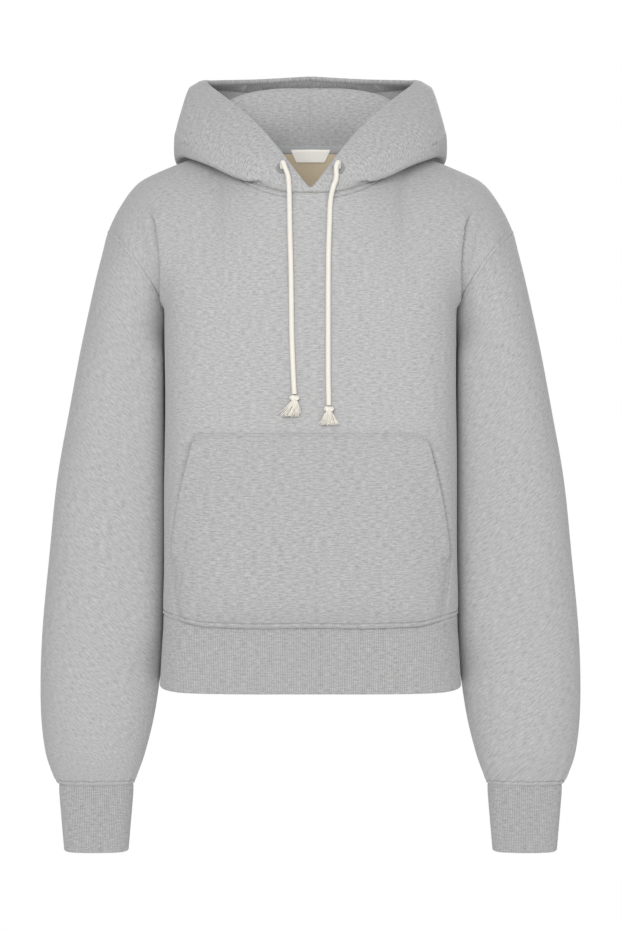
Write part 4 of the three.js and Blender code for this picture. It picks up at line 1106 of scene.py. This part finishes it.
print("stage: eyelets")
eyelet = {"hole": 3.3, "rim": 6.5, "height": 1.1, "lift": -0.1, "stitches": 44, "sides": 48}


def eyeletFrame(sign):
    at, out = onHood
    at, out = at * (sign, 1, 1), out * (sign, 1, 1)
    across = unit(np.cross((0, 0, 1), out))
    return at + out * eyelet["lift"], out, across, np.cross(out, across)


def eyeletPiece(side, sign):
    centre, out, across, up = eyeletFrame(sign)
    hole, rim, height = eyelet["hole"], eyelet["rim"], eyelet["height"]
    profile = np.array([(hole, 0), (rim, 0), (rim, 0.4), (rim - 0.9, height * 0.75), ((rim + hole) / 2, height * 0.85),
                        (hole + 0.6, height * 0.7), (hole, 0.3)])
    turns = np.linspace(0, 2 * math.pi, eyelet["sides"], endpoint=False)
    ring = [centre + r * (math.cos(t) * across + math.sin(t) * up) + out * h for t in turns for r, h in profile]
    size, count = len(profile), eyelet["sides"]
    faces = []
    for s in range(count):
        here, ahead = s * size, (s + 1) % count * size
        faces += [(here + k, ahead + k, ahead + (k + 1) % size, here + (k + 1) % size) for k in range(size)]
    base = meshObject(f"eyelet_{side}.ring", ring, faces)
    reworked(base, lambda work: bmesh.ops.recalc_face_normals(work, faces=work.faces))
    dress(base, "thread", "eyelet_thread", f"eyelet_{side}")
    turns = np.linspace(0, 2 * math.pi, eyelet["stitches"], endpoint=False)
    spokes = np.array([math.cos(t) * across + math.sin(t) * up for t in turns])
    sewn(f"eyelet_{side}.satin", [(centre + spokes * (hole + rim) / 2 + out * height * 0.85, spokes)],
         length=rim - hole + 0.3, thread=0.72, slotName="eyelet_thread")


for side, sign in (("left", 1), ("right", -1)):
    eyeletPiece(side, sign)

print("stage: tassels")
tassel = {
    "knot": (12, 9.5, 8), "cord": 2.3, "strands": 170, "thread": 0.75, "spread": (9.4, 3.9), "waist": (2.6, 2.1),
    "seed": 7, "steps": 8, "shortest": 0.78, "sway": 0.55, "halfDepth": 4.2,
    "left": {"length": 17.5, "lean": 0.5}, "right": {"length": 20, "lean": 5.5},
}


def knotPath(centre):  # a tight overhand knot, as wide, deep and high as it is given
    width, depth, height = (size / 2 - tassel["cord"] for size in tassel["knot"])
    t = np.linspace(0, 2 * math.pi, 90)
    x, z = np.sin(t) + 2 * np.sin(2 * t), np.cos(t) - 2 * np.cos(2 * t)
    return centre + np.stack([x / 3 * width, -np.sin(3 * t) * depth * 0.8, z / 3 * height], -1)


def strandMesh(name, centre, sizes, sign, random):
    places, edges = [], []
    steps = tassel["steps"]
    down = np.linspace(0, 1, steps)
    for n in range(tassel["strands"]):
        share, angle = math.sqrt((n + 0.5) / tassel["strands"]), n * math.pi * (3 - math.sqrt(5))
        fan = np.array([math.cos(angle), math.sin(angle)]) * share
        length = sizes["length"] * random.uniform(tassel["shortest"], 1.0)
        wide = np.outer(down**0.8, tassel["spread"]) + np.outer(1 - down**0.8, tassel["waist"])
        sway = np.cumsum(random.normal(0, tassel["sway"], (steps, 2)), 0) * down[:, None]
        x = fan[0] * wide[:, 0] + sign * sizes["lean"] * down**1.5 + sway[:, 0]
        y = np.clip(fan[1] * wide[:, 1] + sway[:, 1] * 0.5, -tassel["halfDepth"], tassel["halfDepth"])
        first = len(places)
        places += (centre + np.stack([x, y, -2 - (length - 2) * down], -1)).tolist()
        edges += [(first + k, first + k + 1) for k in range(steps - 1)]
    mesh = bpy.data.meshes.new(name)
    mesh.from_pydata((np.array(places) * mm).tolist(), edges, [])
    piece = bpy.data.objects.new(name, mesh)
    scene.collection.objects.link(piece)
    return piece


def tasselPiece(side, sign):
    end = cordPaths[side][-1]
    centre = end + (0, -2, -0.3 - tassel["knot"][2] / 2)
    random = np.random.default_rng(tassel["seed"] + sign)
    strands = grown(strandMesh(f"tassel_{side}.lines", centre, tassel[side], sign, random), trees["threads"],
                    {"Thread": tassel["thread"] * mm, "Material": materials["cord"]}, f"tassel_{side}.strands")
    knot = tube(f"tassel_{side}.knot", knotPath(centre), tassel["cord"], 12)
    dress(knot, "cord", "cotton_cord", f"tassel_{side}")
    return [knot, fasten(strands, "cotton_cord", f"tassel_{side}")]


tassels = {side: tasselPiece(side, sign) for side, sign in (("left", 1), ("right", -1))}

print("stage: stitches")


stitch = {"pitch": 3.2, "sink": 0.12, "neck": (22, 95)}  # neck: where the front's row starts, and where both end


def rowAt(made, edge, distance):  # the cloth's own row that lies at this distance from an edge
    row = abs(np.median(made["distances"][edge], axis=1) - distance).argmin()
    return made["outside"][row] - made["direction"][row] * stitch["sink"]


def along(path, closed=False):
    return alongPath(path, stitch["pitch"], closed=closed)


hemRuns = [along(rowAt(panels[side], "low", stitchLine["place"])) for side in ("front", "back")]
sewn("stitches.hem", hemRuns)
cuffRuns = [along(rowAt(sleeveShells[side], "high", stitchLine["place"]), True) for side in ("left", "right")]
sewn("stitches.cuffs", cuffRuns)
frontNeck = rowAt(panels["front"], "high", stitchLine["place"])
backNeck = rowAt(panels["back"], "high", stitchLine["place"])
start, end = stitch["neck"]
neckRuns = [along(frontNeck[(frontNeck[:, 0] < -start) & (frontNeck[:, 0] > -end)]),
            along(frontNeck[(frontNeck[:, 0] > start) & (frontNeck[:, 0] < end)]),
            along(backNeck[abs(backNeck[:, 0]) < end])]
sewn("stitches.neck", neckRuns)
pocketTop = rowAt(pocketShell, "high", pocket["topStitch"])
pocketLines = {  # seen from the front, on the wearer's left
    "tack": [(125.6, -330.5), (120, -329), (114, -325.5)],
    "facing": [(133.5, -415), (134.1, -430.7), (136.1, -454.5), (141.8, -492.4), (144, -508)],
}


def onCloth(made, path, sink=0.1):  # lays a path seen from the front on a cloth's outside
    line = smoothRun(np.linspace(0, 1, len(path)), path)(np.linspace(0, 1, 40))
    outside = made["outside"].reshape(-1, 3)
    nearest = np.hypot(line[:, None, 0] - outside[:, 0], line[:, None, 1] - outside[:, 2]).argmin(1)
    return points(line[:, 0], outside[nearest, 1] + sink, line[:, 1])


pocketRuns = [along(pocketTop)]
for path in pocketLines.values():
    pocketRuns += [along(onCloth(pocketShell, [(x * sign, z) for x, z in path])) for sign in (-1, 1)]
sewn("stitches.pocket", pocketRuns)

print("stage: cloth facts")
hung = (*panels.values(), *sleeveShells.values(), *cuffs.values(), hem, *hoodShells.values())
laid = (pocketShell, tapeShell, patchShell, labelShell)
for held, group in (("hung", hung), ("laid", laid)):
    for made in group:
        flat = [round(value, 3) for value in made["flat"]]
        print("sheet", made["piece"].name, flat, "area", round(made["area"], 4))

print("stage: floor and light")
floor = {"radius": 0.85, "height": -1.06}
bpy.ops.mesh.primitive_circle_add(vertices=96, radius=floor["radius"], fill_type="NGON",
                                  location=(0, 0, floor["height"]))
ground = bpy.context.object
ground.name = "floor"
ground.data.materials.append(newMaterial("pale matt floor", 0.9, colour="#ececec")[0])

world = bpy.data.worlds.new("studio")
world.use_nodes = True
background = world.node_tree.nodes["Background"]
background.inputs["Color"].default_value = (1, 1, 1, 1)
direction = addNode(world.node_tree, "ShaderNodeTexCoord")
towards = addNode(world.node_tree, "ShaderNodeSeparateXYZ", {"Vector": direction.outputs["Generated"]})
brightness = addNode(world.node_tree, "ShaderNodeMapRange", {  # white behind the hoodie, dimmer on the camera's side
    "Value": towards.outputs["Y"], "From Min": 0.75, "From Max": 0.93, "To Min": 0.55, "To Max": 1.0})
world.node_tree.links.new(brightness.outputs["Result"], background.inputs["Strength"])
scene.world = world
scene.view_settings.view_transform = "Standard"
chest = (0, 0, -0.35)
lights = [  # name, place, size and power, each aimed at the chest
    ("key", (-0.3, -2.9, 0.25), 1.5, 62),
    ("fill", (0.9, -2.9, -0.4), 1.8, 14),
    ("back", (0.7, 2.6, 0.9), 1.6, 34),
]
for name, place, size, power in lights:
    lamp = bpy.data.lights.new(name, "AREA")
    lamp.shape, lamp.size, lamp.energy = "DISK", size, power
    light = bpy.data.objects.new(name, lamp)
    light.location = place
    aim = np.array(chest) - np.array(place)
    pitch = math.atan2(math.hypot(aim[0], aim[1]), -aim[2])
    light.rotation_euler = (pitch, 0, math.atan2(aim[1], aim[0]) - math.pi / 2)
    scene.collection.objects.link(light)
